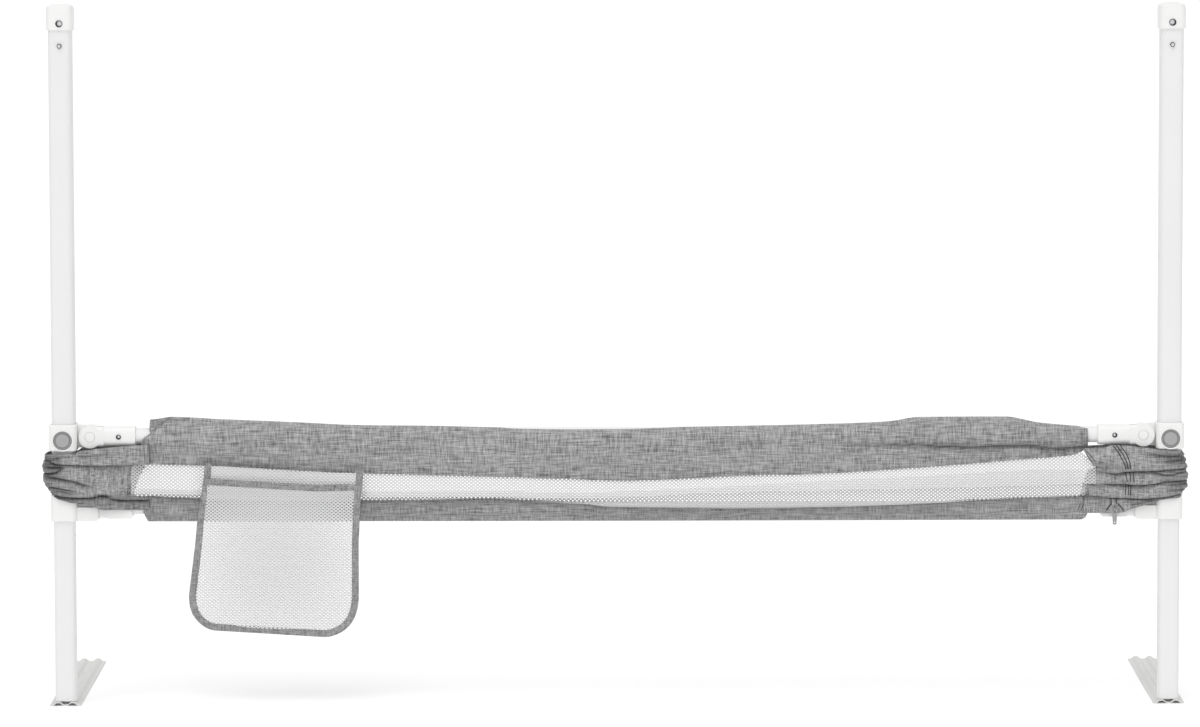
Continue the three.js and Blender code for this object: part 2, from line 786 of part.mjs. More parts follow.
function railFitting() {
  const tenonHalf = stubHalf - stubWall - gap;
  const cradleHalf = lowerRailRadius + gap + cradleWall;
  const cradleEnd = lowerRailEnd + cradleLength;
  const tenon = block(
    [tenonStart, stubEnd + wall], [-tenonHalf, tenonHalf], [stubFloor + gap, stubCeiling - gap]);
  const neck = prismX(roundedRect(
    fittingHalf, (stubTop - cradleBottom) / 2, stubCorner, 0, (stubTop + cradleBottom) / 2),
    stubEnd + gap, lowerRailEnd - gap);
  const side = polygon([
    [lowerRailEnd - 2 * cradleWall, cradleBottom], [cradleEnd - cradleChamfer, cradleBottom],
    [cradleEnd, cradleBottom + cradleChamfer], [cradleEnd - cradleChamfer, cradleBottom + cradleRise],
    [lowerRailEnd - 2 * cradleWall, cradleBottom + cradleRise],
  ]);
  const cradle = prismY(side, -cradleHalf, cradleHalf);
  const rail = [0, 0, lowerRailHeight];
  const way = rod('x', lowerRailRadius + gap, lowerRailEnd - gap, cradleEnd + overrun, rail, 24);
  const spigot = rod(
    'x', lowerRailRadius - wall - gap, lowerRailEnd - 2 * cradleWall, lowerRailEnd + spigotLength, rail, 20);
  return join(tenon, neck, cut(cradle, way), spigot);
}

function thumbSlide() {
  const start = collarHalf + gap;
  const low = stubTop + gap;
  const flat = low + thumbThick;
  const end = start + thumbLength;
  const curve = new THREE.SplineCurve([
    new THREE.Vector2(start + thumbLength * thumbFlatShare, flat),
    new THREE.Vector2(start + thumbLength * thumbPeakShare, flat + thumbHill),
    new THREE.Vector2(start + thumbLength * thumbFootShare, low + thumbNose),
  ]);
  const hill = curve.getPoints(8).map((p) => [p.x, p.y]);
  const outline = [[start, low], [end, low], [end, low + thumbEdge], ...hill.reverse(), [start, flat]];
  const inner = stubHalf - stubWall - gap;
  const pinEnd = legHalf + gap + heightPinLength;
  const carriage = block(
    [carriageStart, carriageEnd], [-inner, inner], [stubFloor + gap, stubCeiling - gap]);
  const neck = block(
    [neckStart, neckStart + neckLength], [-neckHalf, neckHalf], [stubCeiling - wall, low + thumbThick / 2]);
  return cut(
    join(prismY(polygon(outline), -thumbHalf, thumbHalf, 0), neck, carriage),
    rod('x', heightPinShank + gap, carriageStart - overrun, pinEnd + gap, [0, 0, heightPinHeight], 12),
  );
}

function heightPin() {
  const tip = legHalf + gap;
  const at = [0, 0, heightPinHeight];
  return join(
    rod('x', heightPinRadius, tip, carriageStart - gap, at, 12),
    rod('x', heightPinShank, tip + overrun, tip + heightPinLength, at, 12),
  );
}

function heightSpring() {
  const length = tenonStart - carriageEnd - 2 * gap;
  const spring = coilSpring('height spring', lockCoil, lockWire, lockCurls, length);
  const middle = (stubFloor + stubCeiling) / 2;
  return spring.rotateY(Math.PI / 2).translate(carriageEnd + gap, 0, middle);
}

// Cloth round a rail: the same section at every station, with its rise and drop read along the rail
function clothRound(sectionShares, half, left, right, height, rise, drop, holeRadius) {
  const stations = upperDropShares.length - 1;
  const mirror = [...sectionShares].reverse().filter(([y]) => y !== 0);
  const section = [...sectionShares, ...mirror.map(([y, z]) => [-y, z])];
  const rings = [];
  for (let i = 0; i <= stations; i++) {
    const u = i / stations;
    const x = THREE.MathUtils.lerp(left, right, u);
    rings.push(section.map(([y, z]) => new THREE.Vector3(
      x, -y * half, height + z * (z > 0 ? rise(u) : drop(u)))));
  }
  const hole = rod('x', holeRadius, left - overrun, right + overrun, [0, 0, height], 20);
  return cut(loft(rings), hole);
}

const upperDropAt = (u) => upperSleeveDrop * shareAt(upperDropShares, u);
const lowerRiseAt = (u) => lowerBandRise * shareAt(lowerRiseShares, u);

function upperSleeve() {
  return clothRound(
    upperSectionShares, upperSleeveHalf, upperSleeveLeft, upperSleeveRight, railHeight,
    (u) => upperSleeveRise * shareAt(upperRiseShares, u), upperDropAt, railRadius + gap);
}

function lowerBand() {
  return clothRound(
    lowerSectionShares, lowerBandHalf, lowerBandLeft, lowerBandRight, lowerRailHeight,
    lowerRiseAt, () => lowerBandDrop, lowerRailRadius + gap);
}

// Heights of the hems that the net and the pocket are sewn to
function upperHem(x) {
  const u = (x - upperSleeveLeft) / (upperSleeveRight - upperSleeveLeft);
  return railHeight - upperDropAt(u);
}

function lowerHem(x) {
  const u = (x - lowerBandLeft) / (lowerBandRight - lowerBandLeft);
  return lowerRailHeight + lowerRiseAt(u);
}

function meshPanel() {
  const end = postX - endSleeveInner - gap;
  const steps = upperDropShares.length - 1;
  const places = upperDropShares.map(
    (share, i) => THREE.MathUtils.lerp(upperSleeveLeft, upperSleeveRight, i / steps));
  const rings = [];
  for (const x of [-end, ...places, end]) {
    const high = upperHem(x) - gap - netThick / 2;
    const low = lowerHem(x) + gap + netThick / 2;
    const line = [];
    for (let k = 0; k <= netSteps; k++) {
      const s = k / netSteps;
      const swing = 1 - Math.cos(Math.PI * netLegs * s);
      line.push([netLead + netPleat * swing, THREE.MathUtils.lerp(low, high, s)]);
    }
    rings.push(strip(line, netThick).map(([y, z]) => new THREE.Vector3(x, y, z)));
  }
  return stripLoft(rings);
}

// End sleeve: a stack of soft folds round the post that runs in to the net
function endSleeveBottom(x) {
  const s = THREE.MathUtils.clamp((x - endHemStart) / (endHemEnd - endHemStart), 0, 1);
  return collarTop + gap - endHemDrop * s;
}

function endSleeveTop(x) {
  const s = THREE.MathUtils.clamp((x - pivotReach) / (endTopEnd - pivotReach), 0, 1);
  return sliderBottom - gap + endTopRise * s;
}

function endSleeveRing(t, bulge) {
  const hem = Math.max(0, 1 - t / endFoldShares[2]);
  const out = endSleeveOuter - endFoldDepth * (1 - bulge) - endSleeveTaper * hem * hem;
  const middle = (endSleeveInner - out) / 2;
  const reach = (endSleeveInner + out) / 2;
  const side = (sign) => {
    const points = [];
    for (let k = 0; k < endRingSteps; k++) {
      const angle = Math.PI * (k + 1 / 2) / endRingSteps;
      const x = middle - sign * reach * Math.cos(angle);
      const inward = THREE.MathUtils.smoothstep(x, postHalf, endSleeveInner);
      const depth = THREE.MathUtils.lerp(endSleeveDepth - endFoldDepth * (1 - bulge), endSleevePanel, inward);
      const z = THREE.MathUtils.lerp(endSleeveBottom(x), endSleeveTop(x), t);
      points.push(new THREE.Vector3(x, -sign * depth * Math.sin(angle) ** endCornerPower, z));
    }
    return points;
  };
  return [...side(1), ...side(-1)];
}

function endSleeve() {
  const rings = [];
  for (let fold = 0; fold < endFoldShares.length - 1; fold++) {
    for (let k = 0; k < endFoldSteps; k++) {
      const s = k / endFoldSteps;
      const t = THREE.MathUtils.lerp(endFoldShares[fold], endFoldShares[fold + 1], s);
      rings.push(endSleeveRing(t, Math.sin(Math.PI * s) ** endFoldPower));
    }
  }
  rings.push(endSleeveRing(1, 0));
  const boreHalf = postHalf + slidingGap;
  const bore = roundedRect(boreHalf, boreHalf, postRadius + slidingGap);
  const railWay = lowerRailRadius + gap + cradleWall + gap;
  return cut(
    stripLoft(rings),
    prismZ(bore, collarBottom, sliderTop),
    block([stubEnd - stubCorner, endSleeveInner + overrun], [-railWay, railWay],
      [collarBottom, lowerRailHeight + lowerRailRadius + gap]),
  );
}

// Net pocket: a pouch that is flat behind and full in front, with a strip up to the sleeve's hem

function pouch(inset, sheet, floorRise, mouthRise) {
  const height = pocketHeight;
  const rings = pocketRowShares.map((share) => {
    const rise = floorRise + share * (height - floorRise + mouthRise);
    const dip = pocketCorner - Math.min(rise - floorRise, pocketCorner);
    const corner = pocketCorner - Math.sqrt(pocketCorner ** 2 - dip ** 2);
    const v = rise / height;
    const left = pocketLeft + pocketLean * v + inset + corner;
    const right = pocketRight + pocketLeanRight * v - inset - corner;
    const full = Math.min(1, share / pocketFullShare) ** pocketFullPower;
    const front = [];
    const back = [];
    for (let k = 0; k <= pocketSteps; k++) {
      const u = k / pocketSteps;
      const x = THREE.MathUtils.lerp(left, right, u);
      const z = pocketBottom + rise - pocketMouthSlope * v * (u - 0.5);
      const belly = pocketBelly * full * Math.sin(Math.PI * u) ** pocketBellyPower;
      front.push(new THREE.Vector3(x, -pocketBack - pocketSeam + sheet - belly, z));
      back.unshift(new THREE.Vector3(x, -pocketBack - sheet, z));
    }
    return [...front, ...back];
  });
  return loft(rings);
}

function pocketStrip() {
  const steps = 6;
  const rings = [];
  for (let i = 0; i <= steps; i++) {
    const u = i / steps;
    const x = THREE.MathUtils.lerp(
      pocketLeft + pocketLean + pocketSeam, pocketRight + pocketLeanRight - pocketSeam, u);
    const mouth = pocketMouth - pocketMouthSlope * (u - 0.5);
    const hem = upperHem(x) - gap;
    const behind = -pocketBack - pocketSheet / 2;
    const line = [
      [behind, mouth - pocketBinding], [behind, mouth], [-pocketHang, hem - pocketSheet], [-pocketHang, hem],
    ];
    rings.push(strip(line, pocketSheet).map(([y, z]) => new THREE.Vector3(x, y, z)));
  }
  return stripLoft(rings);
}

function meshPocket() {
  const bag = pouch(0, 0, 0, 0);
  const hollow = pouch(pocketBinding, pocketSheet, pocketBinding, pocketSheet);
  return join(cut(bag, hollow), pocketStrip());
}

// Zip slider and pull tab

const zipTop = endSleeveBottom(zipReach) - gap;
const bailY = -zipStandoff - zipDepth - bailReach;
const bailZ = zipTop - zipHeight + bailRise + bailOuter / 2;

function zipSlider() {
  const x = zipReach;
  const low = zipTop - zipHeight;
  const outline = polygon([
    [x - zipFoot / 2, low], [x + zipFoot / 2, low], [x + zipWidth / 2, low + zipHeight / 2],
    [x + zipWidth / 2, zipTop], [x - zipWidth / 2, zipTop], [x - zipWidth / 2, low + zipHeight / 2],
  ]);
  const body = prismY(outline, -zipStandoff - zipDepth, -zipStandoff);
  const bail = rod('x', bailOuter, x - bailThick / 2, x + bailThick / 2, [0, bailY, bailZ], 16);
  const eye = rod('x', bailInner, x - bailThick, x + bailThick, [0, bailY, bailZ], 16);
  return cut(join(body, bail), eye);
}

function zipPull() {
  const x = zipReach;
  const top = bailZ + tabBar / 2;
  const low = top - tabLength;
  const outline = polygon([
    [x - tabTop / 2, top], [x - tabTop / 2, top - tabLength / 3], [x - tabFoot / 2, low + tabFoot / 4],
    [x - tabFoot / 4, low], [x + tabFoot / 4, low], [x + tabFoot / 2, low + tabFoot / 4],
    [x + tabTop / 2, top - tabLength / 3], [x + tabTop / 2, top],
  ]);
  const y = [bailY - tabThick / 2, bailY + tabThick / 2];
  const hole = [x, 0, low + tabHoleRise];
  return cut(
    prismY(outline, y[0], y[1]),
    block([x - tabWindow / 2, x + tabWindow / 2], [y[0] - overrun, y[1] + overrun],
      [top - tabBar - tabWindowHeight, top - tabBar]),
    rod('y', tabHole, y[0] - overrun, y[1] + overrun, hole, 10),
  );
}

// Finishes

const finish = (color, roughness, metalness = 0) => ({ color, roughness, metalness });
const whiteSteel = finish(0xf1f1f1, 0.45, 0.1);
const plateSteel = finish(0xe6e6e4, 0.5, 0.2);
const whitePlastic = finish(0xf4f4f3, 0.4);
const greyPlastic = finish(0x8e8e8e, 0.5);
const chrome = finish(0xc8c8ca, 0.2, 1);
const springSteel = finish(0x9a9ca0, 0.35, 1);
const greyCloth = finish(0x8a8a8a, 0.95);
const whiteNet = finish(0xe4e4e4, 0.9);

// The assembly

const model = new THREE.Group();

function add(parent, name, geometry, surface) {
  const mesh = new THREE.Mesh(geometry, new THREE.MeshStandardMaterial(surface));
  mesh.name = name;
  parent.add(mesh);
}

// The right end is the left end in a mirror, so its faces are turned the other way round
function mirrored(geometry) {
  const copy = geometry.clone();
  copy.scale(-1, 1, 1);
  if (!copy.index) copy.setIndex([...Array(copy.attributes.position.count).keys()]);
  const index = copy.index.array;
  for (let i = 0; i < index.length; i += 3) [index[i], index[i + 1]] = [index[i + 1], index[i]];
  copy.computeVertexNormals();
  return copy;
}

for (const side of ['left', 'right']) {
  const end = new THREE.Group();
  end.position.x = side === 'left' ? -postX : postX;
  model.add(end);
  const put = (name, geometry, surface) => add(
    end, `${side}_${name}`, side === 'left' ? geometry : mirrored(geometry), surface);

  put('foot_plate', footPlate(), plateSteel);
  put('leg_tube', legTube(side), whiteSteel);
  put('leg_plug', legPlug(), whitePlastic);
  put('foot_screw_outer', footScrew(-1), springSteel);
  put('foot_screw_inner', footScrew(1), springSteel);
  put('post_tube', postTube(), whiteSteel);
  put('post_cap', postCap(), whitePlastic);
  put('cap_screw', domeScrew(
    capScrewHead, -capHalf, capScrewLength, -1, 0, capScrewHeight), chrome);
  put('latch_pin', latchPin(), chrome);
  put('latch_spring', latchSpring(), springSteel);
  put('slider', slider(), whitePlastic);
  put('release_button', releaseButton(), greyPlastic);
  put('button_spring', buttonSpring(), springSteel);
  put('rail_connector', railConnector(), whitePlastic);
  put('pivot_pin', pivotPin(), whitePlastic);
  put('connector_screw', domeScrew(
    railScrewHead, -armHalf, railScrewLength, -1, railScrewReach, railHeight), chrome);
  put('lower_bracket', lowerBracket(), whitePlastic);
  put('bracket_screw', domeScrew(
    bracketScrewHead, collarHalf, bracketScrewLength, 1, 0, collarBottom + bracketScrewRise), chrome);
  put('rail_fitting', railFitting(), whitePlastic);
  put('thumb_slide', thumbSlide(), greyPlastic);
  put('height_pin', heightPin(), chrome);
  put('height_spring', heightSpring(), springSteel);
  put('end_sleeve', endSleeve(), greyCloth);
  if (side === 'right') {
    add(end, 'zip_slider', mirrored(zipSlider()), greyPlastic);
    add(end, 'zip_pull', mirrored(zipPull()), greyPlastic);
  }
}

add(model, 'top_rail_tube', topRailTube(), whiteSteel);
add(model, 'lower_rail_tube', lowerRailTube(), whiteSteel);
add(model, 'upper_sleeve', upperSleeve(), greyCloth);
add(model, 'mesh_panel', meshPanel(), whiteNet);
add(model, 'lower_band', lowerBand(), greyCloth);
add(model, 'mesh_pocket', meshPocket(), whiteNet);

// The origin lies on the floor, at the middle of the whole outline
const outline = new THREE.Box3().setFromObject(model);
const centre = outline.getCenter(new THREE.Vector3());
model.position.set(-centre.x, -centre.y, -outline.min.z);

export default model;
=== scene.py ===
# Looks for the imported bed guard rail: finishes for its hard pieces, and its cloth and net built
# over the plain soft solids. Metres; X along the rail, Y in over the foot plates, Z up.

import json
import math

import bmesh
import bpy
import numpy as np
from mathutils import Euler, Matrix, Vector, noise
from mathutils.bvhtree import BVHTree

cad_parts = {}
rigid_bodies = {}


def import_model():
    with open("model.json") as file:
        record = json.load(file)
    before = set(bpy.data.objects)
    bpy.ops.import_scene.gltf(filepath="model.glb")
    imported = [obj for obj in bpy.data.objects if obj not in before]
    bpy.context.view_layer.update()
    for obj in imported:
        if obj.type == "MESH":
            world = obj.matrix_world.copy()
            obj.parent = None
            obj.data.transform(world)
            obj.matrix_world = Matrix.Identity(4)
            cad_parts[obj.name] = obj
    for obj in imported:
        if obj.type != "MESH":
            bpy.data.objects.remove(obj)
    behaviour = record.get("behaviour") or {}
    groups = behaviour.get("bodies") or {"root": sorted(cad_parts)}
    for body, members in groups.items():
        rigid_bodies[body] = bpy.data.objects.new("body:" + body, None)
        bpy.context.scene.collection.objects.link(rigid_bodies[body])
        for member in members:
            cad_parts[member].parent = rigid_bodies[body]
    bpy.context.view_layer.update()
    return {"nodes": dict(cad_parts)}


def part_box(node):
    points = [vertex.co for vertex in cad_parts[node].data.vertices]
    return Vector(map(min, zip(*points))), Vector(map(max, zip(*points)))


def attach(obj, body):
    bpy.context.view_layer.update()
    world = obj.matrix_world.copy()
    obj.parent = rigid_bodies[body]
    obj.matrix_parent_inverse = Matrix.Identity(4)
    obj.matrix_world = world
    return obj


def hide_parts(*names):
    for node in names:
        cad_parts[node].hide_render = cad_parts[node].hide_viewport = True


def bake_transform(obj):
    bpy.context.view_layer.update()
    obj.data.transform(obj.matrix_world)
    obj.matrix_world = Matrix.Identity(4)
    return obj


for unused in list(bpy.data.objects):
    bpy.data.objects.remove(unused)
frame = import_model()
nodes = frame["nodes"]
scene = bpy.context.scene


# Posts, legs and rails: square and round steel tube with a white powder coat, baked on. It gives a
# soft even sheen with the faint grain of the powder, and no edge shows wear.
MM = 0.001


def linear(colour, share=1):
    """Six hex digits of sRGB as the linear numbers that shaders take, at a share of the brightness."""
    values = [int(colour[i:i + 2], 16) / 255 for i in (0, 2, 4)]
    values = [c / 12.92 if c <= 0.04045 else ((c + 0.055) / 1.055) ** 2.4 for c in values]
    return [min(c * share, 1) for c in values] + [1]


def add_node(tree, kind, inputs=None, stops=(), **settings):
    """Add a shader node. An input is a value, or a socket to link it from. Stops are for a ramp."""
    node = tree.nodes.new("ShaderNode" + kind)
    for i, (place, colour) in enumerate(stops):
        node.color_ramp.elements[i].position = place
        node.color_ramp.elements[i].color = colour
    for key, value in settings.items():
        setattr(node, key, value)
    for key, value in (inputs or {}).items():
        if isinstance(value, bpy.types.NodeSocket):
            tree.links.new(value, node.inputs[key])
        else:
            node.inputs[key].default_value = value
    return node


def new_material(name, roughness, metallic=0.0):
    material = bpy.data.materials.new(name)
    material.use_nodes = True
    shader = material.node_tree.nodes["Principled BSDF"]
    shader.inputs["Roughness"].default_value = roughness
    shader.inputs["Metallic"].default_value = metallic
    return material, material.node_tree, shader


def hard_finish(name, colour, roughness, grain, depth, low=0.975, high=1.02, metallic=0.0):
    """A hard surface: a slow drift in its colour, and a grain of so many bumps to the metre."""
    material, tree, shader = new_material(name, roughness, metallic)
    place = add_node(tree, "TexCoord").outputs["Object"]
    drift = add_node(tree, "TexNoise", {"Vector": place, "Scale": 9.0, "Detail": 2.0})
    tones = add_node(tree, "ValToRGB", {"Fac": drift.outputs[0]},
                     stops=((0, linear(colour, low)), (1, linear(colour, high))))
    powder = add_node(tree, "TexNoise", {"Vector": place, "Scale": grain, "Detail": 2.0})
    bump = add_node(tree, "Bump", {"Height": powder.outputs[0], "Distance": depth, "Strength": 0.5})
    tree.links.new(tones.outputs["Color"], shader.inputs["Base Color"])
    tree.links.new(bump.outputs["Normal"], shader.inputs["Normal"])
    return material


def finish_piece(piece, material):
    """Give a hard piece its finish, on faces that are smooth up to an edge of 32 degrees."""
    mesh = piece.data
    mesh.materials.clear()
    mesh.materials.append(material)
    for spare in ("custom_normal", "sharp_edge", "sharp_face"):
        if spare in mesh.attributes:
            mesh.attributes.remove(mesh.attributes[spare])
    mesh.polygons.foreach_set("use_smooth", [True] * len(mesh.polygons))
    mesh.polygons.foreach_set("material_index", [0] * len(mesh.polygons))
    weld = piece.modifiers.new("weld", "WELD")
    weld.merge_threshold = 0.01 * MM
    split = piece.modifiers.new("crisp", "EDGE_SPLIT")
    split.split_angle = math.radians(32)


def dress(kinds, material):
    """Finish the CAD nodes of these kinds, left and right alike."""
    for name, piece in nodes.items():
        if name.removeprefix("left_").removeprefix("right_") in kinds:
            finish_piece(piece, material)


powder_coat = hard_finish("white_powder_coat", "ececec", 0.42, 1400, 0.06 * MM)
dress(("post_tube", "leg_tube", "top_rail_tube", "lower_rail_tube"), powder_coat)


# Foot plates: corrugated pressed steel that lies under the mattress, with the same coat but thinner
# and a shade greyer.
plate_coat = hard_finish("plate_powder_coat", "d6d6d4", 0.5, 1100, 0.08 * MM)
dress(("foot_plate",), plate_coat)


# Caps, sliders, knuckles and their pins, brackets, fittings and plugs: white injection-moulded
# plastic. Its sheen is brighter than the coat's, and its surface as smooth as the mould.
moulded_plastic = hard_finish("white_moulded_plastic", "f2f2f1", 0.34, 500, 0.03 * MM)
dress(("leg_plug", "post_cap", "slider", "rail_connector", "pivot_pin", "lower_bracket", "rail_fitting"),
      moulded_plastic)


# Release buttons, thumb slides and the zip's slider and pull: grey moulded plastic with a fine matt
# grain. A button is one grey, with shade painted darker on its dished ring and a highlight painted
# lighter on the rim of its raised face.
slide_plastic = hard_finish("grey_moulded_plastic", "b4b4b4", 0.45, 900, 0.05 * MM)
zip_plastic = hard_finish("grey_zip_plastic", "9c9c9c", 0.45, 900, 0.05 * MM)
shaded_ring_plastic = hard_finish("grey_button_ring", "949494", 0.5, 900, 0.05 * MM)
face_plastic = hard_finish("grey_button_face", "a6a6a6", 0.45, 900, 0.05 * MM)
highlight_rim_plastic = hard_finish("grey_button_rim", "b8b8b8", 0.4, 900, 0.03 * MM)
dress(("thumb_slide",), slide_plastic)
dress(("zip_slider", "zip_pull"), zip_plastic)
dress(("release_button",), shaded_ring_plastic)

BUTTON_FACE, BUTTON_RIM, BUTTON_DISH = 8.75 * MM, 0.8 * MM, 1.2 * MM
# The raised face gets the plain grey, its rim the painted highlight; the rest keeps the ring's painted shade
for side in ("left", "right"):
    mesh = nodes[side + "_release_button"].data
    mesh.materials.append(face_plastic)
    mesh.materials.append(highlight_rim_plastic)
    low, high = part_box(side + "_release_button")
    middle = (low + high) / 2
    for face in mesh.polygons:
        reach = math.hypot(face.center.x - middle.x, face.center.z - middle.z)
        if reach < BUTTON_FACE and face.center.y < low.y + BUTTON_DISH:
            face.material_index = 1 if reach < BUTTON_FACE - BUTTON_RIM else 2


# Screws, latch pins and height pins: domed heads with bright plating. They mirror the white room at
# their middle, and a dark reflection is painted into their colour towards the rim.
def bright_plating():
    material, tree, shader = new_material("bright_plating", 0.12, 1.0)
    turned = add_node(tree, "LayerWeight", {"Blend": 0.5})
    tones = add_node(tree, "ValToRGB", {"Fac": turned.outputs["Facing"]},
                     stops=((0.015, linear("d8d8da")), (0.08, linear("2a2a2c"))))
    tree.links.new(tones.outputs["Color"], shader.inputs["Base Color"])
    return material


plating = bright_plating()
dress(("cap_screw", "connector_screw", "bracket_screw", "latch_pin", "height_pin"), plating)


# Screws of the foot plates: bare zinc plating, duller than the others
zinc = hard_finish("zinc_plating", "97999d", 0.38, 700, 0.02 * MM, 0.9, 1.05, 1.0)
dress(("foot_screw_outer", "foot_screw_inner"), zinc)


# Springs behind the buttons, the latch pins and the height pins: drawn spring steel with a fine
# grain. One end sits still and the other goes with what is pressed; each is a copy of the spring,
# whose still and pressed ends are found, but nothing makes it shorten.
spring_steel = hard_finish("spring_steel", "8f9196", 0.34, 700, 0.02 * MM, 0.9, 1.05, 1.0)
for side in ("left", "right"):
    for kind, fixed, moving in (
            ("button_spring", side + "_slider", side + "_button"),
            ("latch_spring", "frame", side + "_latch"),
            ("height_spring", "frame", side + "_height_lock")):
        name = side + "_" + kind
        mesh = nodes[name].data.copy()
        mesh.transform(nodes[name].matrix_world)
        spring = bpy.data.objects.new(name + "_steel", mesh)
        scene.collection.objects.link(spring)
        finish_piece(spring, spring_steel)
        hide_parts(name)
        still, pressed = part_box(name)[1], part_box(name)[0]
        if kind == "height_spring":
            pressed = Vector((pressed.x, still.y, still.z))
            if side == "right":
                still, pressed = pressed, still
        else:
            pressed = Vector((still.x, pressed.y, still.z))
        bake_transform(spring)


# The camera, a long lens high in front, fitted to points measured on the posts, sliders and feet.
# The cloth's lines are read as pixels of the same view and set at the depth where each piece hangs.
AXIS = -177.25 * MM
CAMERA_REACH = 8
camera_data = bpy.data.cameras.new("camera")
camera_data.lens = 182.04
camera_data.shift_x = -0.05
camera_data.shift_y = -0.05
camera = bpy.data.objects.new("camera", camera_data)
camera.location = (-0.0036, AXIS - CAMERA_REACH, 1.2342)
camera.rotation_euler = (math.radians(90 - 5.009), math.radians(0.068), math.radians(-0.442))
scene.collection.objects.link(camera)
scene.camera = camera

PHOTO = (1200, 727)
EYE = np.array(camera.location)
TURN = np.array(Euler(camera.rotation_euler).to_matrix())
SPREAD = camera_data.sensor_width / camera_data.lens
LEFT_POST_PX, RIGHT_POST_PX = 63, 1169
UPPER_RAIL_PY, LOWER_RAIL_PY = 438, 509
# How far each rail's line drops at the left post, and how much more at the right one, in pixels
UPPER_DROP, LOWER_DROP = (0.6, 1.5), (-0.8, -0.6)


def drop(px, py):
    """How far below its place in the photograph the frame stands there, in pixels."""
    across = (px - LEFT_POST_PX) / (RIGHT_POST_PX - LEFT_POST_PX)
    upper, lower = (at_left + more * across for at_left, more in (UPPER_DROP, LOWER_DROP))
    down = (py - UPPER_RAIL_PY) / (LOWER_RAIL_PY - UPPER_RAIL_PY)
    return upper + (lower - upper) * np.clip(down, 0, 1)


def seen(px, py, y):
    """Where the ray through a pixel of the photograph meets the upright plane at depth y."""
    px, py, y = np.broadcast_arrays(np.asarray(px, float), np.asarray(py, float), np.asarray(y, float))
    py = py + drop(px, py)
    ray = np.stack([
        ((px - PHOTO[0] / 2) / PHOTO[0] + camera_data.shift_x) * SPREAD,
        ((PHOTO[1] / 2 - py) / PHOTO[0] + camera_data.shift_y) * SPREAD,
        -np.ones_like(px)], -1) @ TURN.T
    reach = (y - EYE[1]) / ray[..., 1]
    return EYE + ray * reach[..., None]


def at_depth(place, y):
    """The same points moved along Y to depth y."""
    return np.stack([place[..., 0], y, place[..., 2]], -1)


# Upper sleeve: a band of grey melange polyester that hangs over the top rail. It is woven from light
# and dark threads, so it shows short streaks along both directions, and its left end is folded over
# at the corner. The real threads are 0.3 mm apart; they are drawn 1.6 mm apart so that they show.
RAIL = 358 * MM
STREAKS = (((45, 640, 640), 0.5), ((640, 75, 75), 0.5))
WEAVE = ((420, 2600, 2600), (2600, 420, 420))
CLOTH_THICK = 0.8 * MM


def melange(name, colour, fine=1.0):
    """Melange cloth. A point attribute darkens it: shade painted into its colour in folds and under
    overhangs.
    """
    material, tree, shader = new_material(name, 0.92)
    place = add_node(tree, "TexCoord").outputs["Object"]
    threads = None
    for scale, weight in STREAKS:
        spot = add_node(tree, "Mapping", {"Vector": place, "Scale": [fine * s for s in scale]})
        streak = add_node(tree, "TexNoise", {"Vector": spot.outputs[0], "Scale": 1.0, "Detail": 2.0})
        threads = add_node(tree, "Math", {0: streak.outputs[0], 1: weight, 2: threads or 0.0},
                           operation="MULTIPLY_ADD").outputs[0]
    tones = add_node(tree, "ValToRGB", {"Fac": threads},
                     stops=((0.3, linear(colour, 0.25)), (0.7, linear(colour, 1.75))))
    cloud = add_node(tree, "TexNoise", {"Vector": place, "Scale": 11.0, "Detail": 2.0})
    uneven = add_node(tree, "MixRGB", {
        "Fac": 0.1, "Color1": tones.outputs["Color"], "Color2": cloud.outputs[0]}, blend_type="OVERLAY")
    # Shade painted into the colour, as much as the point attribute says
    folded = add_node(tree, "Attribute", attribute_name="painted_shade")
    shaded = add_node(tree, "MixRGB", {
        "Fac": folded.outputs["Fac"], "Color1": uneven.outputs["Color"],
        "Color2": linear(colour, 0.12)})
    height = threads
    for scale in WEAVE:
        spot = add_node(tree, "Mapping", {"Vector": place, "Scale": scale})
        yarn = add_node(tree, "TexNoise", {"Vector": spot.outputs[0], "Scale": 1.0, "Detail": 1.0})
        height = add_node(tree, "Math", {0: height, 1: yarn.outputs[0]}, operation="ADD").outputs[0]
    bump = add_node(tree, "Bump", {"Height": height, "Distance": 0.25 * MM, "Strength": 0.8})
    tree.links.new(shaded.outputs["Color"], shader.inputs["Base Color"])
    tree.links.new(bump.outputs["Normal"], shader.inputs["Normal"])
    shader.inputs["Sheen Weight"].default_value = 0.15
    return material


def new_piece(name, points, faces, material):
    mesh = bpy.data.meshes.new(name)
    mesh.from_pydata(points, [], faces)
    mesh.polygons.foreach_set("use_smooth", [True] * len(mesh.polygons))
    mesh.materials.append(material)
    made = bpy.data.objects.new(name, mesh)
    scene.collection.objects.link(made)
    return made


def skin(name, rows, material, closed=False):
    """A mesh over rows of points, each row as long as the others. closed joins each row's ends."""
    rows = np.asarray(rows, float)
    count, width = rows.shape[:2]
    faces = []
    for r in range(count - 1):
        for i in range(width if closed else width - 1):
            j = (i + 1) % width
            faces.append((r * width + i, r * width + j, (r + 1) * width + j, (r + 1) * width + i))
    return new_piece(name, rows.reshape(-1, 3).tolist(), faces, material)


def thicken(made, thick):
    solid = made.modifiers.new("thickness", "SOLIDIFY")
    solid.thickness = thick
    solid.offset = 0


def darken(made, amount):
    """Store how much shade is painted at each point of a mesh, from 0 to 1, for its material."""
    stored = made.data.attributes.new("painted_shade", "FLOAT", "POINT")
    stored.data.foreach_set("value", np.clip(amount, 0, 1).ravel())


def smooth_step(low, high, x):
    t = np.clip((np.asarray(x, float) - low) / (high - low), 0, 1)
    return t * t * (3 - 2 * t)


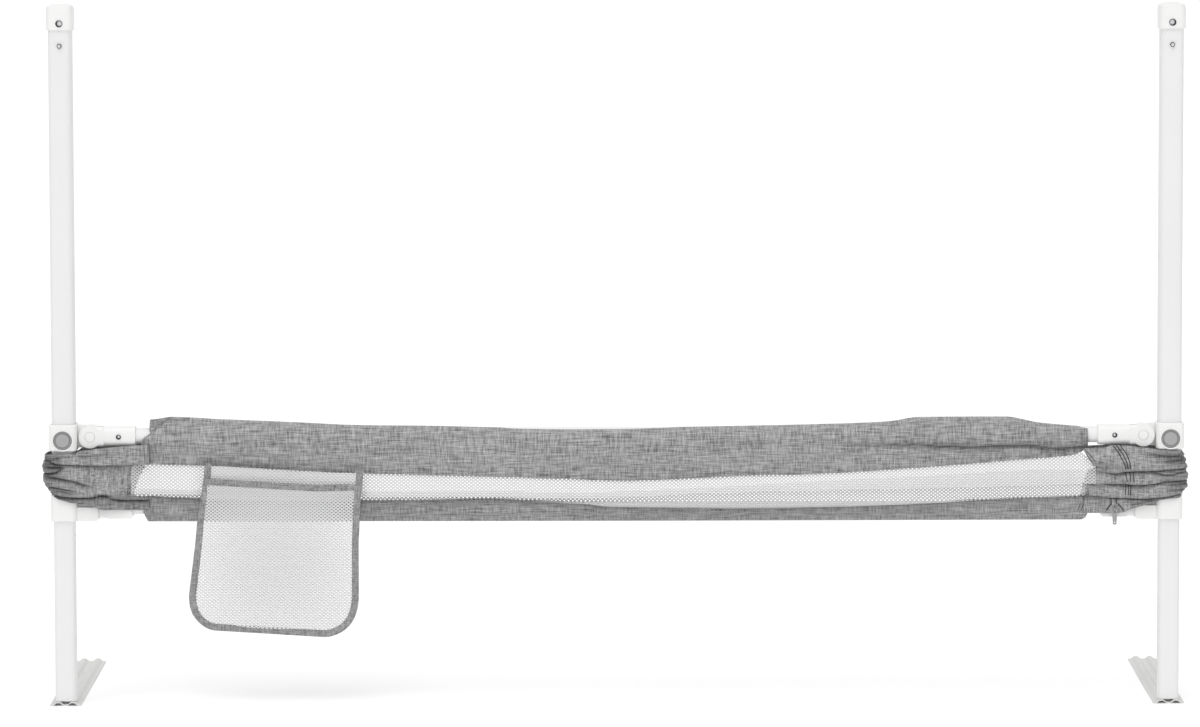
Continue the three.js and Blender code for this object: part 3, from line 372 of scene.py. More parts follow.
def curve(table, x):
    """A smooth reading of a table of (x, y) pairs, all of whose points it passes through."""
    table = np.asarray(table, float)
    xs, ys = table[:, 0], table[:, 1]
    x = np.clip(x, xs[0], xs[-1])
    steps = np.diff(ys) / np.diff(xs)
    slopes = np.zeros(len(xs))
    same = steps[:-1] * steps[1:] > 0
    total = np.where(same, steps[:-1] + steps[1:], 1)
    slopes[1:-1] = np.where(same, 2 * steps[:-1] * steps[1:] / total, 0)
    slopes[0], slopes[-1] = steps[0], steps[-1]
    i = np.clip(np.searchsorted(xs, x) - 1, 0, len(xs) - 2)
    h = xs[i + 1] - xs[i]
    t = (x - xs[i]) / h
    return ((2 * t ** 3 - 3 * t ** 2 + 1) * ys[i] + (t ** 3 - 2 * t ** 2 + t) * h * slopes[i]
            + (3 * t ** 2 - 2 * t ** 3) * ys[i + 1] + (t ** 3 - t ** 2) * h * slopes[i + 1])


def ripple(points, per_metre, seed):
    """Noise from -1 to 1 at each point, with so many cells to the metre along X, Y and Z."""
    flat = (np.asarray(points) * np.asarray(per_metre) + seed).reshape(-1, 3)
    return np.array([noise.noise(p) for p in flat]).reshape(np.asarray(points).shape[:-1])


def between_ends(left, right, down):
    """Pixels along a band whose ends follow two tables, at shares of the way down it."""
    left = np.interp(down, *np.transpose(left))
    right = np.interp(down, *np.transpose(right))
    return left + (right - left) * u


def fold(below, over, under, soft=1.0, roll=0.8):
    """The section of a fold, so many pixels below its edge: how far it stands out and hangs down, in
    millimetres, and how much shade is painted on it. over is the bulge above the edge and under the cut
    beneath it, soft is how slowly the cut fades, and roll how far above the edge its painted shade begins."""
    up, down = np.minimum(below, 0), np.maximum(below, 0)
    cut = smooth_step(-0.5 * soft, 0.6 * soft, below)
    hollow = np.exp(-down / (1.7 * soft)) + 0.3 * np.exp(-down / 6)
    out = over * (1 - cut) * np.exp(up / 5) - under * cut * hollow
    sag = 0.5 * over * (1 - cut) * np.exp(up / 1.8) - 0.2 * under * cut * np.exp(-down / 1.6)
    shade = 1.1 * np.exp(-down / (1.1 * soft)) + 0.18 * np.exp(-down / 4)
    dark = cut * shade + (1 - cut) * 0.5 * np.exp(up / roll)
    return out, sag, dark


SLEEVE_TOP = [
    (141, 419), (150, 419), (172, 416.3), (222, 418.6), (298, 421.6), (360, 424.3), (430, 424.9),
    (496, 426.2), (563, 426.8), (680, 425.6), (753, 424.2), (833, 422.2), (887, 419.9), (920, 415.3),
    (1005, 414.8), (1039, 420.7), (1082, 424.5), (1088, 425)]
SLEEVE_HEM = [
    (141, 463.6), (149, 464), (205, 465), (296, 470.8), (358, 472.7), (430, 474.6), (563, 478.4),
    (620, 480.4), (700, 477.5), (735, 475.5), (815, 473.2), (920, 466.6), (966, 462.8), (1000, 460),
    (1025.5, 457.7), (1047, 455.9), (1072.7, 453.2), (1081.8, 450), (1088, 446.5)]
SLEEVE_LEFT = [(0, 150), (0.24, 150), (0.27, 152), (0.4, 143.5), (0.54, 141), (0.62, 147), (1, 148)]
SLEEVE_RIGHT = [(0, 1087), (0.9, 1087.5), (1, 1081)]
SLEEVE_SECTION = [
    (-1, 0.25), (-0.76, 0.46), (-0.46, 0.78), (-0.2, 0.98), (0, 1), (0.5, 0.9), (0.86, 0.55), (1, 0)]
SLEEVE_HALF = 14 * MM
SLEEVE_CREASE = [
    (700, 437), (756, 441), (920, 441.5), (941, 444), (1000, 443.2), (1018, 442), (1030, 442.4),
    (1043.6, 444.6), (1054.5, 445.5), (1077, 444.1), (1088, 444.6)]
CORNER_TIP = (172, 416.5)
CORNER_WAY = (14 / 24, 19.5 / 24)

cloth = melange("grey_melange_cloth", "9b9b9b")
columns, half_rows = 260, 34
u = np.linspace(0, 1, columns)[:, None]
v = (1 - np.cos(np.pi * np.linspace(0, 1, half_rows) ** 0.8))[None, :] / 2
px = between_ends(SLEEVE_LEFT, SLEEVE_RIGHT, v)
top, hem = curve(SLEEVE_TOP, px), curve(SLEEVE_HEM, px)
py = top + (hem - top) * v
place = seen(px, py, AXIS)
rise = seen(px, top, AXIS)[..., 2] - RAIL
fall = RAIL - seen(px, hem, AXIS)[..., 2]
height = place[..., 2] - RAIL
share = np.where(height > 0, height / rise, height / fall)
half = SLEEVE_HALF * np.interp(share, *np.transpose(SLEEVE_SECTION))
half = half * (1 - 0.08 * smooth_step(1060, 1087, px) - 0.08 * (1 - smooth_step(150, 190, px)))

wave = ripple(place, (16, 1, 34), 3.1) + 0.5 * ripple(place, (45, 1, 80), 8.7)
front_y = -half - 0.8 * MM * wave * np.sin(np.pi * v) ** 0.5
# The long crease at the right, with shade painted above and below its edge
out, sag, dark = fold(py - curve(SLEEVE_CREASE, px), 1.4, 6, 1.5, 5)
fade = smooth_step(740, 960, px)
front_y -= fade * MM * out
place[..., 2] -= fade ** 3 * MM * sag
# The cloth is also painted darker towards the hem
dark = 0.95 * dark * fade ** 2 + 0.12 * smooth_step(10, 2, hem - py)
# The folded corner, the tuck under it and the hem tape's edge at the left
turned = (px - CORNER_TIP[0]) * CORNER_WAY[0] + (py - CORNER_TIP[1]) * CORNER_WAY[1]
corner = smooth_step(0.3, -0.3, turned) * smooth_step(432, 430, py)
front_y += MM * (2.6 * corner - 1.2 * np.exp(-np.maximum(turned, 0) / 3) * (1 - corner)
                 * smooth_step(434, 428, py) * smooth_step(185, 172, px))
front_y += MM * 1.8 * smooth_step(152, 145, px) * smooth_step(430, 436, py)
# Shade painted along the corner's fold and on its turned facet, and in a small fold below it at the left
edge_shade = 0.6 * np.exp(-(np.abs(turned + 0.5) / 0.9) ** 2)
dark = dark + (edge_shade + 0.14 * corner) * smooth_step(432, 430, py)
dark = dark + 0.4 * np.exp(-((py - 438.8) / 0.8) ** 2) * smooth_step(153, 149, px)
back_y = half + 0.9 * MM * ripple(place, (14, 1, 30), 21.3) * np.sin(np.pi * v) ** 0.5

front = at_depth(place, AXIS + np.minimum(front_y, -1 * MM * v - 0.2 * MM))
back = at_depth(place, AXIS + np.maximum(back_y, 0.2 * MM))
sleeve = skin("upper_sleeve_cloth", np.concatenate([front[:, ::-1], back[:, 1:]], 1), cloth)
darken(sleeve, np.concatenate([dark[:, ::-1], 0 * dark[:, 1:]], 1))
thicken(sleeve, CLOTH_THICK)
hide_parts("upper_sleeve")
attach(sleeve, "rail")


# Lower band: the same cloth, wrapped tight round the lower rail and open along its top, where the
# net goes in. The net's fold hangs over that edge. Shade is painted over the whole band, most in a
# painted shadow just under the net's fold.
LOWER = 261.5 * MM
BAND_TOP = [
    (143, 496.6), (201, 499.5), (361, 501.4), (430, 501), (486, 499.9), (534, 501.8), (586, 504.3),
    (610, 507), (700, 508.5), (735, 509), (854, 506.7), (920, 504), (987, 500.3), (1087, 496.7)]
BAND_FOOT = [(143, 521.9), (600, 521.6), (1087, 520.5)]
BAND_HALF = 10.6 * MM
BAND_CREST = 16.2 * MM
BAND_LEFT = [(0, 147.5), (0.52, 147.5), (0.56, 143.5), (1, 148.5)]
BAND_RIGHT = [(0, 1087), (0.7, 1087), (0.9, 1085), (1, 1081)]

half_rows = 24
v = np.sin(np.pi / 2 * np.linspace(0, 1, half_rows))[None, :]
px = between_ends(BAND_LEFT, BAND_RIGHT, v)
top, foot = curve(BAND_TOP, px), curve(BAND_FOOT, px)
py = top + (foot - top) * v
place = seen(px, py, AXIS)
over = place[..., 2] - LOWER
under = LOWER - seen(px, foot, AXIS)[..., 2]
half = BAND_HALF * np.where(
    over > 0, 1 - 0.66 * np.clip(over / BAND_CREST, 0, 1) ** 1.6,
    np.sqrt(np.clip(1 - (over / under) ** 2, 0, 1)))
wave = ripple(place, (14, 1, 40), 5.5) + 0.6 * ripple(place, (50, 1, 90), 6.6)
swell = 0.5 * MM * wave * np.sin(np.pi * v)
front = at_depth(place, AXIS - half - swell)
back = at_depth(place, AXIS + half + swell)
band = skin("lower_band_cloth", np.concatenate([front, back[:, -2::-1]], 1), cloth)
# Painted shade: some over the whole band, most in a painted shadow just under the net's fold, less at the
# right
dark = 0.14 + 0.42 * np.exp(-(py - top) / 4) - 0.05 * smooth_step(900, 1020, px)
darken(band, np.concatenate([dark, 0.14 + 0 * dark[:, -2::-1]], 1))
thicken(band, CLOTH_THICK)
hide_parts("lower_band")
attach(band, "frame")


# Net panel: knitted white polyester net that hangs from the sleeve's hem, doubles back on itself and
# goes down into the lower band. Its holes are really open. They are 2 mm apart on the real net and
# are drawn 3.6 mm apart so that they show.
LOWER_TUBE = 7.5 * MM
HOLE_WIDE, HOLE_HIGH = 5.6 * MM, 4.4 * MM
FOLD_LOW = [
    (131, 494), (361, 497.4), (480, 497), (563, 499), (640, 497), (700, 493.7), (920, 488.6),
    (1033, 485.7), (1096, 483.4)]
FOLD_HIGH = [
    (131, 489), (361, 492), (480, 491), (563, 493), (640, 491), (700, 488), (848, 479.6), (920, 476.6),
    (1048, 469.6), (1096, 470.4)]


def net(name, colour, hole):
    """Net with a hole wherever two crossed waves multiply to more than hole."""
    material, tree, shader = new_material(name, 0.85)
    place = add_node(tree, "TexCoord").outputs["Object"]
    axes = add_node(tree, "SeparateXYZ", {0: place})
    waves = []
    for axis, pitch in (("X", HOLE_WIDE), ("Z", HOLE_HIGH)):
        turns = add_node(tree, "Math", {0: axes.outputs[axis], 1: 2 * math.pi / pitch}, operation="MULTIPLY")
        waves.append(add_node(tree, "Math", {0: turns.outputs[0]}, operation="COSINE").outputs[0])
    product = add_node(tree, "Math", {0: waves[0], 1: waves[1]}, operation="MULTIPLY")
    gap = add_node(tree, "MapRange", {
        "Value": product.outputs[0], "From Min": hole, "From Max": hole + 0.15})
    clear = add_node(tree, "BsdfTransparent")
    mixed = add_node(tree, "MixShader", {
        0: gap.outputs[0], 1: shader.outputs[0], 2: clear.outputs[0]})
    fluff = add_node(tree, "TexNoise", {"Vector": place, "Scale": 900.0, "Detail": 2.0})
    tones = add_node(tree, "ValToRGB", {"Fac": fluff.outputs[0]},
                     stops=((0, linear(colour, 0.9)), (1, linear(colour, 1.04))))
    # Shade painted into the yarn's colour, as much as the point attribute says
    folded = add_node(tree, "Attribute", attribute_name="painted_shade")
    shaded = add_node(tree, "MixRGB", {
        "Fac": folded.outputs["Fac"], "Color1": tones.outputs["Color"],
        "Color2": linear(colour, 0.3)})
    bump = add_node(tree, "Bump", {"Height": product.outputs[0], "Distance": 0.3 * MM, "Strength": 0.6})
    tree.links.new(shaded.outputs["Color"], shader.inputs["Base Color"])
    tree.links.new(bump.outputs["Normal"], shader.inputs["Normal"])
    tree.links.new(mixed.outputs[0], tree.nodes["Material Output"].inputs["Surface"])
    return material


LIFT_START, LIFT_END, CUT, TILT_START, TILT_END = (z * MM for z in (287.8, 293, 293.8, 294.6, 296.8))
RISE = 0.043


def hang(cover):
    """Cut a piece of the cover along a line between its hem and its folds, level at the left and
    rising at the right, into parts left and right of the middle, above and below the line. The parts
    are not attached to the rail or the band, and nothing makes them stretch."""
    for rise in (0, RISE):
        for upper in (True, False):
            part = cover.copy()
            part.data = cover.data.copy()
            part.name = f"{cover.name}_{'right' if rise else 'left'}_{'high' if upper else 'low'}"
            scene.collection.objects.link(part)
            shape = bmesh.new()
            shape.from_mesh(part.data)
            others = []
            for face in shape.faces:
                at = face.calc_center_median()
                if (at.x > 0) != bool(rise) or (at.z - rise * at.x > CUT) != upper:
                    others.append(face)
            bmesh.ops.delete(shape, geom=others, context="FACES")
            shape.to_mesh(part.data)
            shape.free()
            if not part.data.polygons:
                bpy.data.objects.remove(part)
                continue
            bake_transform(part)
    bpy.data.objects.remove(cover)


panel_net = net("white_polyester_net", "dadada", 0.22)
ROWS_DOWN, ROWS_UP, ROWS_IN = 44, 12, 12
PANEL_LEFT, PANEL_RIGHT, PANEL_WIDE = 131.5, 1095.5, 0.6375
px = np.linspace(PANEL_LEFT, PANEL_RIGHT, columns)[:, None]
hem = curve(SLEEVE_HEM, px) - 1.5
hem = np.where(px > 1080, hem + (px - 1080) * 1.3, hem)
low_fold, high_fold = curve(FOLD_LOW, px), curve(FOLD_HIGH, px)
foot = curve(BAND_TOP, px) + 2
ends = np.maximum(1 - smooth_step(140, 156, px), smooth_step(1072, 1086, px))
# From the hem down to the low fold, back up to the high fold, and down again into the band
ways, depths = [], []
for count, start, end, near, far in (
        (ROWS_DOWN, hem, low_fold, -0.3 - 4.5 * ends, -6.5),
        (ROWS_UP, low_fold, high_fold, -6.5, -0.6 - 2.4 * ends),
        (ROWS_IN, high_fold, foot, -0.6 - 2.4 * ends, -0.4 - 2.4 * ends)):
    s = np.linspace(0, 1, count, endpoint=end is foot)[None, :]
    ways.append(start + (end - start) * s)
    depths.append(near + (far - near) * s ** 0.6 + 0.5 * np.sin(np.pi * s) + 0 * px)
py = np.concatenate(ways, 1)
depth = np.concatenate(depths, 1) * MM
place = seen(px + 0 * py, py, AXIS)
place[np.abs(place[:, 0, 0]).argmin(), :, 0] = 0
soft = 0.6 * MM * ripple(place, (10, 1, 40), 9.4)
clear = LOWER_TUBE + 0.9 * MM
rail_front = np.sqrt(np.clip(clear ** 2 - (place[..., 2] - LOWER) ** 2, 0, None))
last = np.arange(py.shape[1])[None, :] >= ROWS_DOWN + ROWS_UP
y = np.where(last, np.minimum(depth + 0.4 * soft, -rail_front), depth + soft)
panel = skin("net_panel", at_depth(place, AXIS + y), panel_net)
# Shade painted on the last run, below the low fold, and along the high fold at the right
dark = np.where(last, 0.12 * smooth_step(0, 3, py - low_fold), 0)
dark = dark + np.where(last, 0, 0.14 * np.exp(-np.abs(py - high_fold) / 1.2) * smooth_step(800, 900, px))
darken(panel, dark)
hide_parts("mesh_panel")
hang(panel)


# End sleeves: the same cloth, gathered in folds round each post. Each fold is its line from left to
# right, as (pixel, pixel, strength), then how far it hangs over, how deep it is cut under that in
# millimetres, and how soft it is.
LEFT_OUT = [
    (449, 49.5), (452.4, 47.4), (454.4, 46), (460.4, 44.6), (465.9, 42.8), (470.3, 44.8), (473.6, 43.6),
    (476.9, 42.8), (482.4, 44.8), (486.8, 46.8), (490.7, 51), (495.4, 51.2), (500, 53)]
LEFT_TOP = [
    (42, 453.6), (49, 452.6), (62, 452.3), (76, 452.1), (81, 448.8), (92, 447.4), (115, 445.2),
    (135, 443.6), (150, 443.2)]
LEFT_FOOT = [
    (42, 495.4), (52, 495.5), (61, 498.2), (74.5, 501.8), (84, 502), (90, 503.4), (98, 507.4),
    (106, 509.2), (150, 509.6)]
LEFT_INNER = [
    (443, 149.5), (463, 149.5), (464.5, 146), (478, 139), (490, 135), (496.5, 133.5), (498, 149.5),
    (511, 149.5)]
LEFT_FOLDS = [
    ([(76, 452.8, 0.2), (82, 453.2, 1), (88, 453.4, 1), (98, 452.4, 0.8), (108, 451.2, 0.5),
      (116, 450, 0)], 0.6, 1.6, 2.2),
    ([(46, 454.8, 0.9), (52, 455.6, 1), (60, 455.2, 0.9), (66, 454.4, 0)], 1.0, 2.0, 1.6),
    ([(48, 459.4, 0.9), (54, 460.8, 0.8), (60, 462, 0)], 0.8, 1.6, 1),
    ([(46, 457, 0.7), (50, 458.4, 0.7), (60, 461.6, 0.9), (74, 462.4, 1), (93, 463.2, 1), (108, 463.5, 0.9),
      (126, 463.5, 0.9), (141, 462.8, 1), (149, 463.4, 1)], 2.0, 3.6, 1),
    ([(45, 463.8, 0.7), (53, 464.8, 1), (62, 465, 1), (67, 463.8, 0)], 0.8, 3.0, 2.4),
    ([(44, 470.2, 0.9), (50, 470.8, 1), (58, 469.6, 1), (66, 464.8, 0)], 2.0, 2.6, 1.2),
    ([(44, 474, 0.9), (50, 474.4, 1), (60, 475.8, 1), (74, 478.6, 1), (82, 481.8, 0.8),
      (89, 484, 0.5), (96, 486.6, 0)], 2.2, 4.0, 1.4),
    ([(48, 483.4, 0.9), (55, 484.8, 1), (64, 486.4, 1), (71, 488, 0.9), (79, 489.8, 0)], 1.6, 2.8, 1),
    ([(50, 487, 0.8), (58, 488.6, 0.6), (70, 490.6, 0.5), (84, 491.8, 0.3), (98, 493.4, 0)], 1.2, 1.8, 1.2),
    ([(50, 491.2, 0.9), (56, 492.6, 1), (64, 494.6, 1), (74, 495.6, 1), (93, 496.2, 1), (101, 495, 1),
      (106, 495.8, 1), (112, 497.6, 1), (121.6, 498.6, 1), (149, 499, 1)], 2.2, 4.6, 1.1),
    ([(95, 493, 0), (101, 493.4, 1), (107, 494.2, 1), (114, 496, 0)], 1.0, 2.0, 1),
    ([(122, 508, 0), (128, 508, 1), (142, 508.2, 1), (149, 508.4, 0.7)], 0.3, 0.8, 0.9),
]
RIGHT_OUT = [
    (446, 1179), (448, 1180.6), (451, 1182.6), (455.2, 1184.2), (458.8, 1186), (461.2, 1185.2),
    (466, 1187.2), (468.4, 1185.4), (473.2, 1188), (476.8, 1186), (481.6, 1187.4), (486.4, 1186.6),
    (490, 1182), (496, 1181.2), (501, 1180)]
RIGHT_TOP = [
    (1080, 446), (1092, 445), (1104, 444.4), (1112, 441.6), (1123, 441.8), (1135, 443.2), (1147, 444.6),
    (1159, 446), (1177, 448), (1181, 448.4), (1190, 449.4)]
RIGHT_FOOT = [
    (1080, 513.2), (1108.4, 513), (1122.3, 512), (1130, 508.6), (1137, 506.2), (1146, 503.4), (1154, 500.6),
    (1160, 498.6), (1181, 496.5), (1190, 496)]
RIGHT_INNER = [(445, 1081), (467, 1094), (470, 1088), (483, 1083), (496.5, 1080), (498, 1084), (514, 1082.5)]
RIGHT_FOLDS = [
    ([(1138, 447.2, 0), (1150, 449.4, 0.7), (1163, 451.6, 1), (1190, 452.4, 0.9)], 1.2, 2.4, 2.2),
    ([(1154, 459.5, 0), (1166, 457.8, 0.8), (1176, 457.2, 1), (1190, 457.8, 0.9)], 1.2, 2.2, 2),
    ([(1093, 458.4, 0.3), (1100, 459.4, 0.8), (1106, 461, 0.6), (1114, 462.4, 0)], 0.6, 1.4, 1.6),
    ([(1093, 469.8, 0.8), (1097, 470.2, 1), (1114.6, 471.8, 1), (1123, 469.8, 1), (1135, 468.8, 1),
      (1149, 468.2, 1), (1160, 467.2, 0.8), (1190, 464.8, 0.7)], 2.2, 4.8, 1.2),
    ([(1148, 468, 0), (1156, 470.6, 0.8), (1163, 471.8, 1), (1171, 472, 0.8), (1178, 470, 0.6),
      (1190, 468.8, 0.5)], 1.6, 2.8, 1.3),
    ([(1082, 482.4, 0.8), (1096.6, 484.2, 1), (1111, 482.8, 1), (1125.4, 482.6, 1), (1135, 483.4, 0.9),
      (1151.8, 481.6, 0.8), (1166, 478.6, 0.8), (1190, 477.6, 0.8)], 2.2, 4.8, 1.2),
    ([(1164, 483.6, 0), (1172, 482.2, 0.7), (1181, 481, 0.8), (1190, 480.4, 0.8)], 1.2, 2.0, 1.2),
    ([(1080, 496.4, 0.9), (1095.4, 496.7, 1), (1111, 497.4, 1), (1125.4, 497.4, 1), (1142.2, 497.6, 0.8),
      (1159, 495.8, 0.7), (1180.6, 492.4, 0.6), (1190, 491, 0.6)], 1.8, 4.4, 1.2),
    ([(1126, 503.8, 0), (1132, 503.4, 0.8), (1145, 500.4, 0.8), (1160, 497.2, 0)], 1.0, 1.8, 1.6),
    ([(1160, 488.8, 0), (1172, 488, 0.6), (1190, 486, 0.7)], 1.0, 1.8, 1.8),
]
# Heights in the photograph over which the end sleeve's seam passes from the sleeve to the net, and
# from the net to the band, and how far the cloth stands out beside each, in millimetres
STRIP_EDGE, BAND_EDGE = (461, 465.5), (495.5, 499)
STRIP_DEPTH, NET_DEPTH, FOOT_DEPTH, POST_DEPTH = 14.8, 1.2, 12.4, 24.6
PLEAT_PITCH = 4.6
END_THICK, END_ROUND = 0.9 * MM, 0.32


def gathered(side, out, top, foot, inner, folds, seed):
    """One end sleeve. Its rows run from the foot up; each goes round the post from front to back."""
    sign = -1 if side == "left" else 1
    rows, around = 190, 320
    t = np.linspace(0, 1, rows)[:, None]
    turn = 2 * np.pi * np.linspace(0, 1, around)[None, :]
    post_px = LEFT_POST_PX if side == "left" else RIGHT_POST_PX
    # Along the sleeve 1 is the seam with the bands and -1 the outermost point of the gather
    along, flank = np.cos(turn), np.abs(np.sin(turn))
    face = np.where(turn < np.pi, -1, 1)
    first = 0 if side == "left" else -1
    edge_py = foot[first][1] + (top[first][1] - foot[first][1]) * t
    out_px = np.interp(edge_py, *np.transpose(out))
    seam_py = foot[-1 - first][1] + (top[-1 - first][1] - foot[-1 - first][1]) * t
    inner_px = np.interp(seam_py, *np.transpose(inner))
    inward = np.clip(along, 0, 1)
    px = np.where(along > 0, post_px + (inner_px - post_px) * inward ** 0.9,
                  post_px + (post_px - out_px) * along)
    py = curve(foot, px) + (curve(top, px) - curve(foot, px)) * t
    strip = 1 - smooth_step(*STRIP_EDGE, py)
    low = smooth_step(*BAND_EDGE, py)
    seam_depth = NET_DEPTH + (STRIP_DEPTH - NET_DEPTH) * strip + (FOOT_DEPTH - NET_DEPTH) * low
    depth = POST_DEPTH * flank ** 0.42 * (1 - inward ** 1.2) + seam_depth * inward ** 1.2
    puff, sag, dark = np.zeros_like(py), np.zeros_like(py), np.zeros_like(py)
    for i, (line, over, under, softness) in enumerate(folds):
        line = np.array(line)
        at = curve(line[:, :2], px) + np.where(face < 0, 0, 1.5 * math.sin(2.3 * i + seed))
        start, stop = line[0, 0], line[-1, 0]
        strength = np.interp(px, line[:, 0], line[:, 2])
        strength = strength * smooth_step(start - 3, start, px) * smooth_step(stop + 3, stop, px)
        # Each fold paints shade along its cut as well, less for cuts under 3.6 mm
        sections = fold(py - at, over, 1.7 * under, softness, 0.8 * softness ** 2)
        for total, part in zip((puff, sag, dark), sections):
            total += strength * part * (min(under / 3.6, 1) if total is dark else 1)
    place = seen(px, py, AXIS)
    place[..., 2] -= sag * MM * smooth_step(0, 0.06, t) * smooth_step(1, 0.94, t)
    round_it = np.stack([place[..., 0], depth * MM * face, place[..., 2]], -1)
    pleat = smooth_step(20, 3, np.abs(px - out_px))
    waves = np.sin(2 * np.pi * (py + 4.5 * ripple(round_it, (22, 22, 30), seed)) / PLEAT_PITCH)
    puff += 1.1 * pleat * waves
    # Shade painted in the pleats' hollows, over the cloth near the outer end, and over the strip along the
    # foot
    dark += 0.4 * pleat * np.clip(-waves - 0.3, 0, 1) + 0.14 * smooth_step(34, 8, np.abs(px - out_px))
    dark += (0.3 if side == "left" else 0.12) * low
    puff += ripple(round_it, (34, 34, 110), seed + 1) + 0.5 * ripple(round_it, (70, 70, 260), seed + 4)
    puff *= smooth_step(0, 0.3, flank + np.clip(-along, 0, 1))
    # Close to the net panel the cloth lies flat behind it
    puff *= 1 - 0.9 * smooth_step(0.6, 0.78, inward) * (1 - strip) * (1 - low)
    x = place[..., 0] + sign * puff * MM * smooth_step(0.1, 0.9, -along) * 0.4
    y = AXIS + face * np.maximum(depth + puff * (0.25 + 0.75 * flank ** 0.5), 0.8) * MM
    made = skin(side + "_end_sleeve_cloth", np.stack([x, y, place[..., 2]], -1), cloth)
    darken(made, dark)
    thicken(made, END_THICK)
    return made


def surface_of(cloth_piece):
    mesh = cloth_piece.data
    return BVHTree.FromPolygons([v.co for v in mesh.vertices], [f.vertices[:] for f in mesh.polygons])


surfaces = {}
for side, out, top, foot, inner, folds, seed in (
        ("left", LEFT_OUT, LEFT_TOP, LEFT_FOOT, LEFT_INNER, LEFT_FOLDS, 1.7),
        ("right", RIGHT_OUT, RIGHT_TOP, RIGHT_FOOT, RIGHT_INNER, RIGHT_FOLDS, 5.2)):
    made = gathered(side, out, top, foot, inner, folds, seed)
    surfaces[side] = surface_of(made)
    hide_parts(side + "_end_sleeve")
    hang(made)


# Seams and zip: rows of thick spun-polyester thread laid on the cloth, dark round the zip and where
# the right end sleeve is sewn on, and grey elsewhere. The thread is 0.6 mm thick, drawn up to 1.4 mm
# so that it shows.
ZIP_ROWS = [
    [(1112.2, 442.6), (1119.4, 452.8), (1124.2, 462.4), (1126, 469.2)],
    [(1115.8, 442.6), (1123, 452.8), (1127.2, 462.4), (1128.2, 469)],
    [(1119.4, 442.4), (1126.6, 452.8), (1129.8, 461.2), (1130.8, 468.4)],
    [(1125.4, 472), (1127.2, 480.4), (1127, 482)], [(1129.6, 471.6), (1131, 481.6)],
    [(1133.2, 471), (1134, 481.8)],
    [(1126, 485), (1125.4, 496)], [(1128.4, 485), (1128.2, 496)], [(1131, 485.2), (1130.4, 496)]]
ZIP_STOP_ROWS = [
    [(1106.8, 511.4), (1108.6, 508), (1111.4, 504.4)], [(1111, 506.6), (1111, 499)],
    [(1116.4, 504.6), (1116.4, 499)], [(1117.6, 504.4), (1120.4, 507.6), (1123, 511)]]
SHORT_ROWS = [
    [(1083, 450), (1086.5, 453.6), (1092.4, 461.6)], [(1085.4, 448.8), (1089.4, 452.8), (1095, 460.6)]]
BAND_ROWS = [[(1077.4, 512), (1080, 505.4)], [(1081, 512), (1083.4, 505.4)]]
LEFT_ROWS = [
    [(144.8, 445), (144.6, 462.4)], [(147.4, 445), (147.2, 462.4)],
    [(144.8, 499.8), (144.8, 508.6)], [(147.4, 499.8), (147.4, 508.6)]]
SLEEVE_ROWS = [[(1081.6, 426), (1081.8, 443.6)], [(1084, 426), (1084.2, 443.6)]]
THREAD_SIDES = 6


def lengths(line):
    """How far along a line of pixels each of its points lies."""
    return np.concatenate([[0], np.cumsum(np.linalg.norm(np.diff(line, axis=0), axis=1))])


def sew(name, lines, surface, radius, material):
    """Thread along lines of pixels, laid on the cloth that the camera sees there."""
    points, faces = [], []
    for line in lines:
        line = np.array(line, float)
        spans = lengths(line)
        even = np.linspace(0, spans[-1], max(int(spans[-1] / 0.8), 3))
        path = []
        for target in seen(np.interp(even, spans, line[:, 0]), np.interp(even, spans, line[:, 1]), AXIS):
            way = Vector(target - EYE).normalized()
            hit = surface.ray_cast(Vector(EYE), way)[0]
            if hit is not None:
                path.append(hit - way * (0.5 * MM + 0.5 * radius))
        if len(path) < 2:
            continue
        for i in range(len(path)):
            way = (path[min(i + 1, len(path) - 1)] - path[max(i - 1, 0)]).normalized()
            up = way.cross(Vector((0, 1, 0))).normalized()
            out = way.cross(up)
            for k in range(THREAD_SIDES):
                angle = 2 * math.pi * k / THREAD_SIDES
                points.append(path[i] + radius * (math.cos(angle) * up + math.sin(angle) * out))
            if i:
                new = len(points) - THREAD_SIDES
                old = new - THREAD_SIDES
                for k in range(THREAD_SIDES):
                    after = (k + 1) % THREAD_SIDES
                    faces.append((old + k, old + after, new + after, new + k))
        first, last = len(points) - THREAD_SIDES * len(path), len(points) - THREAD_SIDES
        faces.append(tuple(reversed(range(first, first + THREAD_SIDES))))
        faces.append(tuple(range(last, len(points))))
    return new_piece(name, [tuple(p) for p in points], faces, material)


dark_thread = hard_finish("dark_polyester_thread", "3c3c3c", 0.8, 2500, 0.1 * MM, 0.7, 1.3)
grey_thread = hard_finish("grey_polyester_thread", "6a6a6a", 0.8, 2500, 0.1 * MM, 0.7, 1.3)
for name, rows, side, radius, finish in (
        ("zip_seams", ZIP_ROWS, "right", 0.6 * MM, dark_thread),
        ("zip_stop_seams", ZIP_STOP_ROWS, "right", 0.7 * MM, dark_thread),
        ("right_seams", SHORT_ROWS, "right", 0.4 * MM, dark_thread),
        ("left_seams", LEFT_ROWS, "left", 0.26 * MM, grey_thread)):
    made = sew(name, rows, surfaces[side], radius, finish)
    hang(made)
for name, rows, cloth_piece, body, radius, finish in (
        ("sleeve_seams", SLEEVE_ROWS, sleeve, "rail", 0.22 * MM, grey_thread),
        ("band_seams", BAND_ROWS, band, "frame", 0.4 * MM, dark_thread)):
    made = sew(name, rows, surface_of(cloth_piece), radius, finish)
    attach(made, body)


